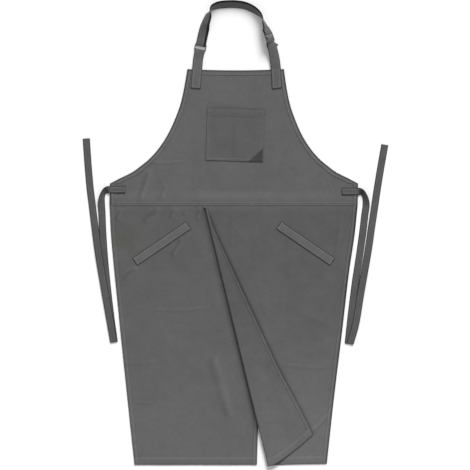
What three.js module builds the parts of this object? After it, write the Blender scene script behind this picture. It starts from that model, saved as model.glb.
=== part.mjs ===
// A split-leg apron lying flat, as a scene graph of closed meshes in millimetres, +Z up.
// The origin is on the ground below the middle of the waist seam.
// +Y runs up the bib to the neck strap, and +X is to the right of someone who looks down at it.

import * as THREE from 'three';

// Cloth: one layer, what a turned hem adds, and the gap between pieces that lie on each other.
const CLOTH = 1.0;
const HEM_EXTRA = 0.8;
const HEM_STEP = 1;
const GAP = 0.3;
const SIDE_HEM = 12;
const LEG_HEM = 21;
const BIB_TOP_HEM = 14;
const SEAM_ALLOWANCE = 10;

// Bib: from the waist seam up to its top edge.
const WAIST_WIDTH = 699;
const BIB_LENGTH = 384.5;
const BIB_TOP_WIDTH = 272;
const WAIST_EDGE_HEIGHT = 62;
const BIB_LEAN = 5.6;
const BIB_TOP_DIP = 3.6;

// Leg panels: their length, how far they overlap at the waist, and how far each edge moves in.
const SKIRT_LENGTH = 731;
const OVERLAP = 175;
const LEFT_OUTER_TAPER = 70;
const RIGHT_OUTER_TAPER = 87;
const LEFT_INNER_TAPER = 22;
const RIGHT_INNER_TAPER = 27;

// The right leg's inner part is rolled back along one line that starts at the waist seam.
const FOLD_START = 5;
const FOLD_ANGLE = 13.52;
const FOLD_RADIUS_TOP = 1.2;
const FOLD_RADIUS_HEM = 4.6;
const FLAP_SETTLE = 70;
const FOLD_SHUT = 5;
const FOLD_OPENING = 28;

// Bib pocket with a pen slot, and the triangular patch on its lower corner.
const POCKET_WIDTH = 162;
const POCKET_DEPTH = 150;
const POCKET_HEIGHT = 125;
const POCKET_TILT = -1.74;
const POCKET_GAPE = 6;
const POCKET_FLANK = 20;
const PEN_SLOT = 42;
const PEN_GAPE = 5.2;
const POCKET_SEAM = 4;
const PATCH_SIDE = 39;
const PATCH_EDGE = 1.5;
const PATCH_THICKNESS = 0.8;

// Hand pocket welts.
const WELT_LENGTH = 184;
const WELT_WIDTH = 26;
const WELT_ANGLE = 34.3;
const WELT_OUT = 203;
const WELT_DOWN = 107;

// Neck strap, its ring and its slide buckle.
const STRAP_WIDTH = 28;
const STRAP = 1.6;
const STRAP_INSET = 24.5;
const LOOP_RISE = 182.5;
const LOOP_SHIFT = 2;
const TAB_SEWN = 54;
const TAB_LEAN = 13.5;
const ADJUSTER_LEAN = 3;
const RING_WINDOW = 7.6;
const RING_BAR = 2;
const BUCKLE_BAR = 3.4;
const BUCKLE_WINDOW = 9;
const BUCKLE_THICKNESS = 2.5;
const HARDWARE_SIDE_CLEARANCE = 0.4;
const RING_TAIL = 26;
const BUCKLE_TAIL = 15;
const ADJUSTER_TAIL = 13.5;
const TAIL_OUT = 12.2;
const TAIL_SPLAY = 17;
const TAIL_TILT = 10;

// Waist ties.
const TIE_WIDTH = 20;
const TIE_SEWN = 38;
const TIE_DROP = 429;
const LEFT_TIE_MARGIN = 7;
const RIGHT_TIE_MARGIN = 12;

// Armhole edge: height as a share of the bib above the waist edge,
// and how far out as a share of the way from the top corner to the waist.
const ARMHOLE = [
  { up: 0.0, out: 1.0 },
  { up: 0.045, out: 0.87 },
  { up: 0.1, out: 0.705 },
  { up: 0.155, out: 0.593 },
  { up: 0.21, out: 0.493 },
  { up: 0.31, out: 0.36 },
  { up: 0.43, out: 0.246 },
  { up: 0.56, out: 0.157 },
  { up: 0.7, out: 0.083 },
  { up: 0.85, out: 0.035 },
  { up: 1.0, out: 0.0 },
];

// Outer leg edges: share of each taper reached at a share of the leg's length.
const LEG_SIDE = [
  { down: 0.0, left: 0.0, right: 0.0 },
  { down: 0.1, left: 0.045, right: 0.085 },
  { down: 0.26, left: 0.2, right: 0.28 },
  { down: 0.5, left: 0.45, right: 0.515 },
  { down: 0.75, left: 0.72, right: 0.77 },
  { down: 1.0, left: 1.0, right: 1.0 },
];

// Hem of the right leg before it is rolled: how far it hangs below the skirt length, as a share of it.
const RIGHT_HEM = [
  { across: 0.0, drop: -0.021 },
  { across: 0.2, drop: 0.0 },
  { across: 0.42, drop: 0.0125 },
  { across: 0.52, drop: 0.003 },
  { across: 0.75, drop: -0.002 },
  { across: 1.0, drop: -0.004 },
];

// Neck strap: place as shares of half the loop's width and of its rise, tilt on its edge in degrees,
// and how many strap layers lie under it.
const NECK_ROUTE = [
  { across: -0.91, up: 0.334, tilt: 0, layers: 1.4 },
  { across: -0.85, up: 0.516, tilt: 0, layers: 1.0 },
  { across: -0.815, up: 0.608, tilt: 8, layers: 0.4 },
  { across: -0.78, up: 0.7, tilt: 33, layers: 0 },
  { across: -0.726, up: 0.79, tilt: 44, layers: 0 },
  { across: -0.7, up: 0.84, tilt: 54, layers: 0 },
  { across: -0.672, up: 0.89, tilt: 88, layers: 0 },
  { across: -0.6, up: 0.95, tilt: 122, layers: 0 },
  { across: -0.47, up: 0.985, tilt: 135, layers: 0 },
  { across: -0.291, up: 1.0, tilt: 139, layers: 0 },
  { across: -0.038, up: 1.003, tilt: 140, layers: 0 },
  { across: 0.215, up: 0.98, tilt: 138, layers: 0 },
  { across: 0.42, up: 0.925, tilt: 133, layers: 0 },
  { across: 0.58, up: 0.85, tilt: 117, layers: 0 },
  { across: 0.66, up: 0.785, tilt: 95, layers: 0.5 },
  { across: 0.7, up: 0.71, tilt: 72, layers: 1.6 },
  { across: 0.755, up: 0.62, tilt: 60, layers: 3.0 },
  { across: 0.832, up: 0.49, tilt: 49, layers: 4.1 },
  { across: 0.892, up: 0.385, tilt: 33, layers: 3.7 },
  { across: 0.93, up: 0.28, tilt: 17, layers: 2.5 },
  { across: 0.97, up: 0.15, tilt: 6, layers: 1.6 },
  { across: 1.0, up: 0.0, tilt: 0, layers: 1.1 },
];
const RING_STATION = 0;
const BUCKLE_STATION = 17;

// Waist ties: distance out from the apron's side in tie widths, way down as a share of the tie's drop,
// tilt on its edge in degrees and layers under it. The way down comes first, then the way back up.
const TIE_DOWN = [
  { left: 0.1, right: 0.1, down: 0.0, tilt: 0, layers: 1.9 },
  { left: 0.5, right: 0.5, down: 0.004, tilt: 26, layers: 0.5 },
  { left: 0.9, right: 0.9, down: 0.023, tilt: 46, layers: 0 },
  { left: 1.12, right: 1.14, down: 0.055, tilt: 32, layers: 0 },
  { left: 1.17, right: 1.2, down: 0.095, tilt: 9, layers: 0 },
  { left: 1.14, right: 1.15, down: 0.15, tilt: 2, layers: 0 },
  { left: 1.15, right: 1.12, down: 0.25, tilt: 0, layers: 0 },
  { left: 1.22, right: 1.13, down: 0.43, tilt: 0, layers: 0 },
  { left: 1.24, right: 1.07, down: 0.62, tilt: 0, layers: 0 },
  { left: 1.17, right: 1.03, down: 0.82, tilt: 0, layers: 0 },
  { left: 1.04, right: 1.05, down: 1.0, tilt: 0, layers: 0 },
];
const TIE_BACK = {
  left: [
    { out: 1.1, down: 1.0, layers: 1 },
    { out: 1.31, down: 0.865, layers: 1 },
    { out: 1.64, down: 0.664, layers: 1 },
    { out: 2.0, down: 0.413, layers: 1 },
    { out: 2.2, down: 0.249, layers: 0.4 },
    { out: 2.46, down: 0.105, layers: 0 },
    { out: 2.75, down: -0.003, layers: 0 },
    { out: 3.03, down: -0.148, layers: 0 },
    { out: 3.31, down: -0.336, layers: 0 },
  ],
  right: [
    { out: 1.32, down: 1.0, layers: 1 },
    { out: 1.76, down: 0.88, layers: 1 },
    { out: 2.0, down: 0.68, layers: 1 },
    { out: 2.24, down: 0.387, layers: 1 },
    { out: 2.26, down: 0.247, layers: 0.4 },
    { out: 2.42, down: 0.104, layers: 0 },
    { out: 2.77, down: -0.015, layers: 0 },
    { out: 3.28, down: -0.16, layers: 0 },
    { out: 3.84, down: -0.307, layers: 0 },
  ],
};

const rad = THREE.MathUtils.degToRad;
const clamp01 = (value) => Math.min(1, Math.max(0, value));
const smooth = (value) => THREE.MathUtils.smoothstep(value, 0, 1);
const mix = (a, b, share) => a + (b - a) * share;

// The value of one column of a table at a given place along another column.
function lookUp(table, key, column, place) {
  for (let i = 1; i < table.length; i += 1) {
    const low = table[i - 1];
    const high = table[i];
    if (place <= high[key] || i === table.length - 1) {
      const share = clamp01((place - low[key]) / (high[key] - low[key]));
      return mix(low[column], high[column], share);
    }
  }
  return table[0][column];
}

// A closed mesh from rows of point pairs, each pair one point on the upper and one on the lower face.
function sheetSolid(rows) {
  const rowCount = rows.length;
  const columnCount = rows[0].length;
  const positions = [];
  for (const face of ['top', 'bottom']) {
    for (const row of rows) {
      for (const pair of row) positions.push(pair[face].x, pair[face].y, pair[face].z);
    }
  }
  const layer = rowCount * columnCount;
  const at = (i, j) => i * columnCount + j;
  const indices = [];
  const quad = (a, b, c, d) => indices.push(a, b, c, a, c, d);
  for (let i = 0; i + 1 < rowCount; i += 1) {
    for (let j = 0; j + 1 < columnCount; j += 1) {
      quad(at(i, j), at(i, j + 1), at(i + 1, j + 1), at(i + 1, j));
      quad(layer + at(i, j), layer + at(i + 1, j), layer + at(i + 1, j + 1), layer + at(i, j + 1));
    }
  }
  const rim = [];
  for (let j = 0; j + 1 < columnCount; j += 1) rim.push(at(0, j));
  for (let i = 0; i + 1 < rowCount; i += 1) rim.push(at(i, columnCount - 1));
  for (let j = columnCount - 1; j > 0; j -= 1) rim.push(at(rowCount - 1, j));
  for (let i = rowCount - 1; i > 0; i -= 1) rim.push(at(i, 0));
  rim.forEach((a, k) => {
    const b = rim[(k + 1) % rim.length];
    quad(a, a + layer, b + layer, b);
  });
  return outward(positions, indices);
}

// A closed mesh whose faces point out, whichever way its rows were listed.
function outward(positions, indices) {
  let volume = 0;
  const corner = (index) => new THREE.Vector3().fromArray(positions, index * 3);
  for (let k = 0; k < indices.length; k += 3) {
    const [a, b, c] = [corner(indices[k]), corner(indices[k + 1]), corner(indices[k + 2])];
    volume += a.dot(b.cross(c));
  }
  const geometry = new THREE.BufferGeometry();
  geometry.setAttribute('position', new THREE.Float32BufferAttribute(positions, 3));
  geometry.setIndex(volume > 0 ? indices : indices.slice().reverse());
  geometry.computeVertexNormals();
  return geometry;
}

// A flat strap: a rectangular section carried along stations, each with a point and a side direction.
function strapSolid(stations, width, thickness) {
  const positions = [];
  const last = stations.length - 1;
  stations.forEach((station, k) => {
    const ahead = stations[Math.min(k + 1, last)].point;
    const behind = stations[Math.max(k - 1, 0)].point;
    const along = ahead.clone().sub(behind).normalize();
    const up = station.side.clone().cross(along).normalize();
    for (const [across, over] of [[-1, -1], [1, -1], [1, 1], [-1, 1]]) {
      const corner = station.point.clone();
      corner.addScaledVector(station.side, across * width / 2);
      corner.addScaledVector(up, over * thickness / 2);
      positions.push(corner.x, corner.y, corner.z);
    }
  });
  const indices = [];
  const quad = (a, b, c, d) => indices.push(a, b, c, a, c, d);
  for (let k = 0; k < last; k += 1) {
    for (let side = 0; side < 4; side += 1) {
      const next = (side + 1) % 4;
      const ring = [4 * k + side, 4 * k + next, 4 * k + 4 + next, 4 * k + 4 + side];
      // Both faces are split along the same diagonal, so a twisted strap keeps its thickness.
      if (side === 2) {
        ring.push(ring.shift());
      }
      quad(...ring);
    }
  }
  quad(3, 2, 1, 0);
  quad(4 * last, 4 * last + 1, 4 * last + 2, 4 * last + 3);
  return outward(positions, indices);
}

// One upper and one lower point of cloth: its place on the ground, its lower face and its thickness.
function clothPair(x, y, low, thickness) {
  return {
    top: new THREE.Vector3(x, y, low + thickness),
    bottom: new THREE.Vector3(x, y, low),
  };
}

// Values between two ends, with both ends, in equal steps.
function steps(from, to, count) {
  return Array.from({ length: count + 1 }, (_, k) => mix(from, to, k / count));
}

const material = (color, roughness, metalness) => (
  new THREE.MeshStandardMaterial({ color, roughness, metalness })
);
const apronCloth = material(0x616163, 0.92, 0);
const pocketCloth = material(0x5e5e60, 0.92, 0);
const strapCloth = material(0x565658, 0.9, 0);
const patchCloth = material(0x434345, 0.8, 0);
const antiqueBrass = material(0x51524c, 0.45, 0.9);
const ringMetal = material(0x3c3c3e, 0.4, 0.9);

const apron = new THREE.Group();

function addPiece(name, geometry, pieceMaterial, parent = apron) {
  const mesh = new THREE.Mesh(geometry, pieceMaterial);
  mesh.name = name;
  parent.add(mesh);
  return mesh;
}

// Leg panels. Their outer and inner edges at a depth below the waist seam.
const LEGS = {
  left: {
    sign: -1,
    column: 'left',
    outerTaper: LEFT_OUTER_TAPER,
    innerTaper: LEFT_INNER_TAPER,
    tieMargin: LEFT_TIE_MARGIN,
  },
  right: {
    sign: 1,
    column: 'right',
    outerTaper: RIGHT_OUTER_TAPER,
    innerTaper: RIGHT_INNER_TAPER,
    tieMargin: RIGHT_TIE_MARGIN,
  },
};
const LEG_LIFT = CLOTH + HEM_EXTRA + GAP;
const LIFT_MARGIN = 4;
const LIFT_RAMP = 20;
const COLUMN_STEP = 6;
const HEM_EASE = 0.08;

function outerEdge(leg, depth) {
  const share = clamp01(depth / SKIRT_LENGTH);
  return leg.sign * (WAIST_WIDTH / 2 - leg.outerTaper * lookUp(LEG_SIDE, 'down', leg.column, share));
}

function innerEdge(leg, depth) {
  return -leg.sign * (OVERLAP / 2 - leg.innerTaper * clamp01(depth / SKIRT_LENGTH));
}

// Depths of the rows of both legs: the seam allowance, the seam, and down to the hem.
const LEG_ROWS = [-SEAM_ALLOWANCE, 0];
for (const share of steps(0, 1, 22).slice(1, -1)) LEG_ROWS.push(share * SKIRT_LENGTH);
LEG_ROWS.push(SKIRT_LENGTH - LEG_HEM - HEM_STEP, SKIRT_LENGTH - LEG_HEM, SKIRT_LENGTH);
LEG_ROWS.sort((a, b) => a - b);

const inBottomHem = (depth) => depth > SKIRT_LENGTH - LEG_HEM - HEM_STEP / 2;

function leftLegSolid() {
  const leg = LEGS.left;
  const rows = LEG_ROWS.map((depth) => {
    const outer = outerEdge(leg, depth);
    const inner = innerEdge(leg, depth);
    const start = outer + SIDE_HEM;
    const end = inner - SIDE_HEM;
    const places = [outer, start, ...steps(start + HEM_STEP, end - HEM_STEP, 5), end, inner];
    return places.map((x) => {
      const hemmed = inBottomHem(depth) || x < start + HEM_STEP / 2 || x > end - HEM_STEP / 2;
      return clothPair(x, -depth, 0, CLOTH + (hemmed ? HEM_EXTRA : 0));
    });
  });
  return sheetSolid(rows);
}

// How far the right leg is lifted by the left leg under it.
function rightLegLift(x, depth) {
  const edge = innerEdge(LEGS.left, depth) + LIFT_MARGIN;
  return LEG_LIFT * (1 - clamp01((x - edge) / LIFT_RAMP));
}

// The line that the right leg is rolled along: where it starts, its direction and its outward side.
const foldStart = new THREE.Vector2(-OVERLAP / 2 + FOLD_START, 0);
const foldAlong = new THREE.Vector2(Math.sin(rad(FOLD_ANGLE)), -Math.cos(rad(FOLD_ANGLE)));
const foldOut = new THREE.Vector2(Math.cos(rad(FOLD_ANGLE)), Math.sin(rad(FOLD_ANGLE)));

function foldPlace(x, y) {
  const offset = new THREE.Vector2(x, y).sub(foldStart);
  return { along: offset.dot(foldAlong), out: offset.dot(foldOut) };
}

// The bend at a place along the fold: the angle that it turns and its length in the cloth.
// A flap narrower than the bend needs turns less, and the seam holds the first part shut.
const FLAP_NEEDED = 1.7;
const FLAP_CLEAR = 0.4;
const OPENING_ROWS = 6;
const LEAST_ANGLE = 0.02;
const LEAST_BEND = 1.2;
function foldBend(along, flapWidth) {
  const length = SKIRT_LENGTH / Math.cos(rad(FOLD_ANGLE));
  const radius = mix(FOLD_RADIUS_TOP, FOLD_RADIUS_HEM, clamp01(along / length));
  const freed = smooth(clamp01((along - FOLD_SHUT) / FOLD_OPENING));
  const angle = Math.max(LEAST_ANGLE, Math.min(Math.PI, FLAP_NEEDED * flapWidth / radius) * freed);
  return { angle, cloth: Math.max(radius * angle, LEAST_BEND) };
}

// Where a point of the unrolled right leg goes: a point in the middle of the cloth and its normal.
// Where the bend is nearly a half turn, the flap comes to rest on the cloth below it.
const RESTS_FROM = 0.8;
const SETTLE_SHARE = 0.8;
function rollPoint(x, y, half) {
  const { along, out } = foldPlace(x, y);
  const flapWidth = -foldPlace(innerEdge(LEGS.right, -y), y).out;
  const bend = foldBend(along, Math.max(flapWidth, 1));
  const travelled = bend.cloth / 2 - out;
  if (travelled <= 0) {
    const low = rightLegLift(x, -y);
    return { middle: new THREE.Vector3(x, y, low + half), normal: new THREE.Vector3(0, 0, 1) };
  }
  const turned = bend.angle * Math.min(1, travelled / bend.cloth);
  const radius = bend.cloth / bend.angle;
  const beyond = Math.max(0, travelled - bend.cloth);
  const outNow = bend.cloth / 2 - radius * Math.sin(turned) - beyond * Math.cos(turned);
  const place = foldStart.clone().addScaledVector(foldAlong, along).addScaledVector(foldOut, outNow);
  const low = rightLegLift(place.x, -place.y);
  const risen = low + half + radius * (1 - Math.cos(turned)) + beyond * Math.sin(turned);
  const settle = Math.min(FLAP_SETTLE, SETTLE_SHARE * Math.max(flapWidth, 1));
  const spare = Math.max(0, 2 * radius - CLOTH - GAP) * (1 - smooth(clamp01(beyond / settle)));
  const rested = low + CLOTH + GAP + FLAP_CLEAR + spare + half;
  const turnedShare = (bend.angle / Math.PI - RESTS_FROM) / (1 - RESTS_FROM);
  const folded = beyond > 0 ? smooth(clamp01(turnedShare)) : 0;
  const lean = Math.sin(turned);
  const normal = new THREE.Vector3(foldOut.x * lean, foldOut.y * lean, Math.cos(turned));
  return { middle: new THREE.Vector3(place.x, place.y, mix(risen, rested, folded)), normal };
}

function rightLegSolid() {
  const leg = LEGS.right;
  const opening = steps(FOLD_SHUT, FOLD_SHUT + FOLD_OPENING, OPENING_ROWS).slice(0, -1);
  const depths = [...LEG_ROWS, ...opening].sort((a, b) => a - b);
  const rows = depths.map((depth) => {
    const outer = outerEdge(leg, depth);
    const inner = innerEdge(leg, depth);
    const yAt = (x) => {
      const across = (x - inner) / (outer - inner);
      return -depth * (1 + lookUp(RIGHT_HEM, 'across', 'drop', across));
    };
    const flapWidth = -foldPlace(inner, yAt(inner)).out;
    const foldX = inner + flapWidth / Math.cos(rad(FOLD_ANGLE));
    const bend = foldBend(foldPlace(foldX, yAt(foldX)).along, Math.max(flapWidth, 1));
    const bendHalf = bend.cloth / 2 / Math.cos(rad(FOLD_ANGLE));
    const hem = Math.min(SIDE_HEM, 0.4 * (foldX - bendHalf - inner));
    const hemEnd = inner + hem * (1 + HEM_EASE);
    const places = [inner, inner + hem, ...steps(hemEnd, foldX - bendHalf, 4)];
    places.push(...steps(foldX - bendHalf, foldX + bendHalf, 7).slice(1));
    const liftEdge = innerEdge(LEGS.left, depth) + LIFT_MARGIN;
    const rampStart = Math.max(foldX + bendHalf + COLUMN_STEP, liftEdge);
    const rampEnd = Math.max(rampStart + COLUMN_STEP, liftEdge + LIFT_RAMP);
    places.push(...steps(foldX + bendHalf, rampStart, 2).slice(1));
    places.push(rampEnd);
    places.push(...steps(rampEnd, outer - SIDE_HEM - HEM_STEP, 4).slice(1));
    places.push(outer - SIDE_HEM, outer);
    return places.map((x) => {
      const onInnerHem = depth > FOLD_SHUT + FOLD_OPENING && x < (inner + hem + hemEnd) / 2;
      const onOuterHem = x > outer - SIDE_HEM - HEM_STEP / 2;
      const hemmed = inBottomHem(depth) || onOuterHem || onInnerHem;
      const half = (CLOTH + (hemmed ? HEM_EXTRA : 0)) / 2;
      const { middle, normal } = rollPoint(x, yAt(x), half);
      return {
        top: middle.clone().addScaledVector(normal, half),
        bottom: middle.clone().addScaledVector(normal, -half),
      };
    });
  });
  return sheetSolid(rows);
}

addPiece('leg_left', leftLegSolid(), apronCloth);
addPiece('leg_right', rightLegSolid(), apronCloth);

// Bib. It is lifted over the legs' seam allowances and comes down to the ground above them.
const SEAM_MARGIN = 4;
const SEAM_RAMP = 30;
const OVERLAP_RAMP = 20;
const BIB_EASE = 2;
const STEEPEST_HEM = 2.2;

function bibHalfWidth(height) {
  if (height <= WAIST_EDGE_HEIGHT) return WAIST_WIDTH / 2;
  const up = (height - WAIST_EDGE_HEIGHT) / (BIB_LENGTH - WAIST_EDGE_HEIGHT);
  return mix(BIB_TOP_WIDTH / 2, WAIST_WIDTH / 2, lookUp(ARMHOLE, 'up', 'out', up));
}

const bibMiddle = (height) => BIB_LEAN * height / BIB_LENGTH;

// Places across the waist where the lift over the legs changes, from the left to the right.
const liftLeft = -OVERLAP / 2 - SEAM_MARGIN;
const liftRight = OVERLAP / 2 + LIFT_MARGIN + BIB_EASE;
const liftRightRamp = LIFT_RAMP + 2 * BIB_EASE;
function bibLift(x, height) {
  const onOverlap = clamp01((x - liftLeft + OVERLAP_RAMP) / OVERLAP_RAMP)
    * (1 - clamp01((x - liftRight) / liftRightRamp));
  const stack = LEG_LIFT * (1 + onOverlap);
  return stack * (1 - clamp01((height - SEAM_ALLOWANCE - SEAM_MARGIN) / SEAM_RAMP));
}

const BIB_ROWS = [0, SEAM_ALLOWANCE + SEAM_MARGIN, SEAM_ALLOWANCE + SEAM_MARGIN + SEAM_RAMP];
for (const row of ARMHOLE.slice(0, -1)) BIB_ROWS.push(mix(WAIST_EDGE_HEIGHT, BIB_LENGTH, row.up));
BIB_ROWS.push(BIB_LENGTH - BIB_TOP_HEM - HEM_STEP, BIB_LENGTH - BIB_TOP_HEM, BIB_LENGTH);

function bibSolid() {
  const waist = WAIST_WIDTH / 2;
  const inner = [liftLeft - OVERLAP_RAMP, liftLeft, 0, liftRight, liftRight + liftRightRamp];
  const rows = BIB_ROWS.map((height, k) => {
    const half = bibHalfWidth(height);
    const middle = bibMiddle(height);
    const before = BIB_ROWS[Math.max(0, k - 1)];
    const after = BIB_ROWS[Math.min(BIB_ROWS.length - 1, k + 1)];
    const slope = (bibHalfWidth(before) - bibHalfWidth(after)) / (after - before);
    const hem = SIDE_HEM * Math.min(STEEPEST_HEM, Math.hypot(1, slope));
    const scale = half / waist;
    const end = half - hem - HEM_STEP;
    const places = [-half, -half + hem, -end, (-end + inner[0] * scale) / 2];
    places.push(...inner.map((x) => x * scale));
    places.push((end + inner[inner.length - 1] * scale) / 2, end, half - hem, half);
    return places.map((offset, column) => {
      const onSideHem = column < 2 || column > places.length - 3;
      const hemmed = onSideHem || height > BIB_LENGTH - BIB_TOP_HEM - HEM_STEP / 2;
      const dip = BIB_TOP_DIP * (height / BIB_LENGTH) ** 3 * (1 - (offset / half) ** 2);
      const x = middle + offset;
      return clothPair(x, height - dip, bibLift(x, height), CLOTH + (hemmed ? HEM_EXTRA : 0));
    });
  });
  return sheetSolid(rows);
}

addPiece('bib', bibSolid(), apronCloth);

// Pocket. It is sewn down on its two sides, its bottom and the pen slot's line, and gapes at the top.
const pocketGroup = new THREE.Group();
pocketGroup.position.set(bibMiddle(POCKET_HEIGHT), POCKET_HEIGHT, 0);
pocketGroup.rotation.z = rad(POCKET_TILT);
apron.add(pocketGroup);

function pocketSolid() {
  const half = POCKET_WIDTH / 2;
  const slot = half - PEN_SLOT;
  const border = POCKET_SEAM;
  const penFlank = POCKET_FLANK / 2;
  const columns = [
    { x: -half, main: 0, pen: 0 },
    { x: -half + border, main: 0, pen: 0 },
    { x: -half + border + POCKET_FLANK, main: 1, pen: 0 },
    { x: slot - border / 2 - POCKET_FLANK, main: 1, pen: 0 },
    { x: slot - border / 2, main: 0, pen: 0 },
    { x: slot + border / 2, main: 0, pen: 0 },
    { x: slot + border / 2 + penFlank, main: 0, pen: 1 },
    { x: half - border - penFlank, main: 0, pen: 1 },
    { x: half - border, main: 0, pen: 0 },
    { x: half, main: 0, pen: 0 },
  ];
  const rowTable = [
    { y: 0, main: 0, pen: 0 },
    { y: border, main: 0, pen: 0 },
    { y: border + POCKET_FLANK, main: 1, pen: 0 },
    { y: PATCH_SIDE + border, main: 1, pen: 0 },
    { y: PATCH_SIDE + border + POCKET_FLANK, main: 1, pen: 1 },
    { y: POCKET_DEPTH - BIB_TOP_HEM, main: 1, pen: 1 },
    { y: POCKET_DEPTH, main: 1, pen: 1 },
  ];
  const sewn = CLOTH + GAP;
  return sheetSolid(rowTable.map((row) => columns.map((column) => {
    const gape = row.main * column.main * (POCKET_GAPE - GAP) + row.pen * column.pen * (PEN_GAPE - GAP);
    return clothPair(column.x, row.y, sewn + gape, CLOTH);
  })));
}

function patchSolid() {
  const corner = POCKET_WIDTH / 2 - PATCH_EDGE;
  const outline = new THREE.Shape();
  outline.moveTo(corner - PATCH_SIDE, PATCH_EDGE);
  outline.lineTo(corner, PATCH_EDGE);
  outline.lineTo(corner, PATCH_EDGE + PATCH_SIDE);
  outline.closePath();
  return new THREE.ExtrudeGeometry(outline, { depth: PATCH_THICKNESS, bevelEnabled: false });
}

addPiece('bib_pocket', pocketSolid(), pocketCloth, pocketGroup);
const patch = addPiece('pocket_corner', patchSolid(), patchCloth, pocketGroup);
patch.position.z = 2 * (CLOTH + GAP);

// Welts of the hand pockets, each resting on the highest point of the leg below it.
function weltHeight(leg) {
  let highest = 0;
  for (const along of [-0.5, 0, 0.5]) {
    const x = leg.sign * (WELT_OUT - along * WELT_LENGTH * Math.cos(rad(WELT_ANGLE)));
    const depth = WELT_DOWN + along * WELT_LENGTH * Math.sin(rad(WELT_ANGLE));
    const lift = leg.sign > 0 ? rightLegLift(x - WELT_WIDTH / 2, depth) : 0;
    highest = Math.max(highest, lift);
  }
  return highest + CLOTH + GAP + CLOTH / 2;
}

for (const [name, leg] of Object.entries(LEGS)) {
  const welt = addPiece(`welt_${name}`, new THREE.BoxGeometry(WELT_LENGTH, WELT_WIDTH, CLOTH), apronCloth);
  welt.position.set(leg.sign * WELT_OUT, -WELT_DOWN, weltHeight(leg));
  welt.rotation.z = -leg.sign * rad(WELT_ANGLE);
}

// A strap's route over the ground: smooth through its stations, each with a heading and a tilted side.
function strapRoute(stations, width, thickness, samplesPerStation) {
  const curve = new THREE.CatmullRomCurve3(
    stations.map((station) => new THREE.Vector3(station.x, station.y, 0)),
    false,
    'centripetal',
  );
  const count = (stations.length - 1) * samplesPerStation;
  return steps(0, stations.length - 1, count).map((place) => {
    const k = Math.min(stations.length - 2, Math.floor(place));
    const share = place - k;
    const tilt = rad(mix(stations[k].tilt, stations[k + 1].tilt, share));
    const layers = mix(stations[k].layers, stations[k + 1].layers, share);
    const t = place / (stations.length - 1);
    const along = curve.getTangent(t);
    const flat = new THREE.Vector3(along.y, -along.x, 0).normalize();
    const side = flat.clone().multiplyScalar(Math.cos(tilt));
    side.z = Math.sin(tilt);
    const point = curve.getPoint(t);
    const under = thickness / 2 + layers * (thickness + GAP);
    point.z = width / 2 * Math.abs(Math.sin(tilt)) + under * Math.abs(Math.cos(tilt));
    return { point, side, along, place };
  });
}

// The turn of a strap round a bar, in a plane: from its tail under the bar, round it, to above it.
// Distances run along the strap away from the window, from the bar's edge on the window's side.
function barTurn(frame, barWidth, barThickness, tailLength) {
  const radius = barThickness / 2 + GAP + STRAP / 2;
  const up = frame.side.clone().cross(frame.away).normalize();
  if (up.z < 0) up.negate();
  const at = (away, over) => ({
    point: frame.edge.clone().addScaledVector(frame.away, away).addScaledVector(up, over),
    side: frame.side.clone(),
  });
  const closed = STRAP + GAP - radius;
  const turn = [at(tailLength, -radius), at(tailLength / 2, -radius), at(barWidth, -radius)];
  for (const angle of steps(-90, -270, 8)) {
    turn.push(at(radius * Math.cos(rad(angle)), radius * Math.sin(rad(angle))));
  }
  for (const share of [0, 0.2, 0.6, 1]) {
    turn.push(at(mix(barWidth, tailLength, share), mix(radius, closed, smooth(share))));
  }
  return turn;
}

// A flat metal frame with one or two windows that a strap goes through.
function frameSolid(bar, windowLength, windows, thickness) {
  const innerHalf = STRAP_WIDTH / 2 + HARDWARE_SIDE_CLEARANCE;
  const outerHalf = innerHalf + bar;
  const length = windows * windowLength + (windows + 1) * bar;
  const outline = new THREE.Shape();
  const corner = bar * 0.6;
  outline.moveTo(-outerHalf + corner, -length / 2);
  outline.lineTo(outerHalf - corner, -length / 2);
  outline.lineTo(outerHalf, -length / 2 + corner);
  outline.lineTo(outerHalf, length / 2 - corner);
  outline.lineTo(outerHalf - corner, length / 2);
  outline.lineTo(-outerHalf + corner, length / 2);
  outline.lineTo(-outerHalf, length / 2 - corner);
  outline.lineTo(-outerHalf, -length / 2 + corner);
  outline.closePath();
  for (let k = 0; k < windows; k += 1) {
    const low = -length / 2 + bar + k * (bar + windowLength);
    const window = new THREE.Path();
    window.moveTo(-innerHalf, low);
    window.lineTo(-innerHalf, low + windowLength);
    window.lineTo(innerHalf, low + windowLength);
    window.lineTo(innerHalf, low);
    window.closePath();
    outline.holes.push(window);
  }
  const geometry = new THREE.ExtrudeGeometry(outline, { depth: thickness, bevelEnabled: false });
  geometry.translate(0, 0, -thickness / 2);
  return geometry;
}

// Turns a flat frame so that its Y runs along a strap and its X along the strap's side.
function placeFrame(mesh, centre, side, along) {
  const up = side.clone().cross(along).normalize();
  mesh.matrix.makeBasis(side, along, up);
  mesh.quaternion.setFromRotationMatrix(mesh.matrix);
  mesh.position.copy(centre);
}

// Neck loop, from the ring at the left over the top to the buckle at the right.
const neckStations = NECK_ROUTE.map((row) => ({
  ...row,
  x: BIB_LEAN + row.across * (BIB_TOP_WIDTH / 2 - STRAP_INSET) + LOOP_SHIFT,
  y: BIB_LENGTH + row.up * LOOP_RISE,
}));
const NECK_SAMPLES = 3;
const neckRoute = strapRoute(neckStations, STRAP_WIDTH, STRAP, NECK_SAMPLES);
const atNeck = (station) => neckRoute[station * NECK_SAMPLES];

const ringPlace = atNeck(RING_STATION);
const ringAlong = ringPlace.along.clone().setZ(0).normalize();
const ringTurn = RING_BAR / 2 + GAP + STRAP / 2;
const ringOpening = RING_WINDOW + 2 * (ringTurn + STRAP / 2);
const ringCentre = ringPlace.point.clone().setZ(STRAP / 2 + ringTurn);
const ring = addPiece('strap_ring', frameSolid(RING_BAR, ringOpening, 1, RING_BAR), ringMetal);
placeFrame(ring, ringCentre, ringPlace.side, ringAlong);

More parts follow.
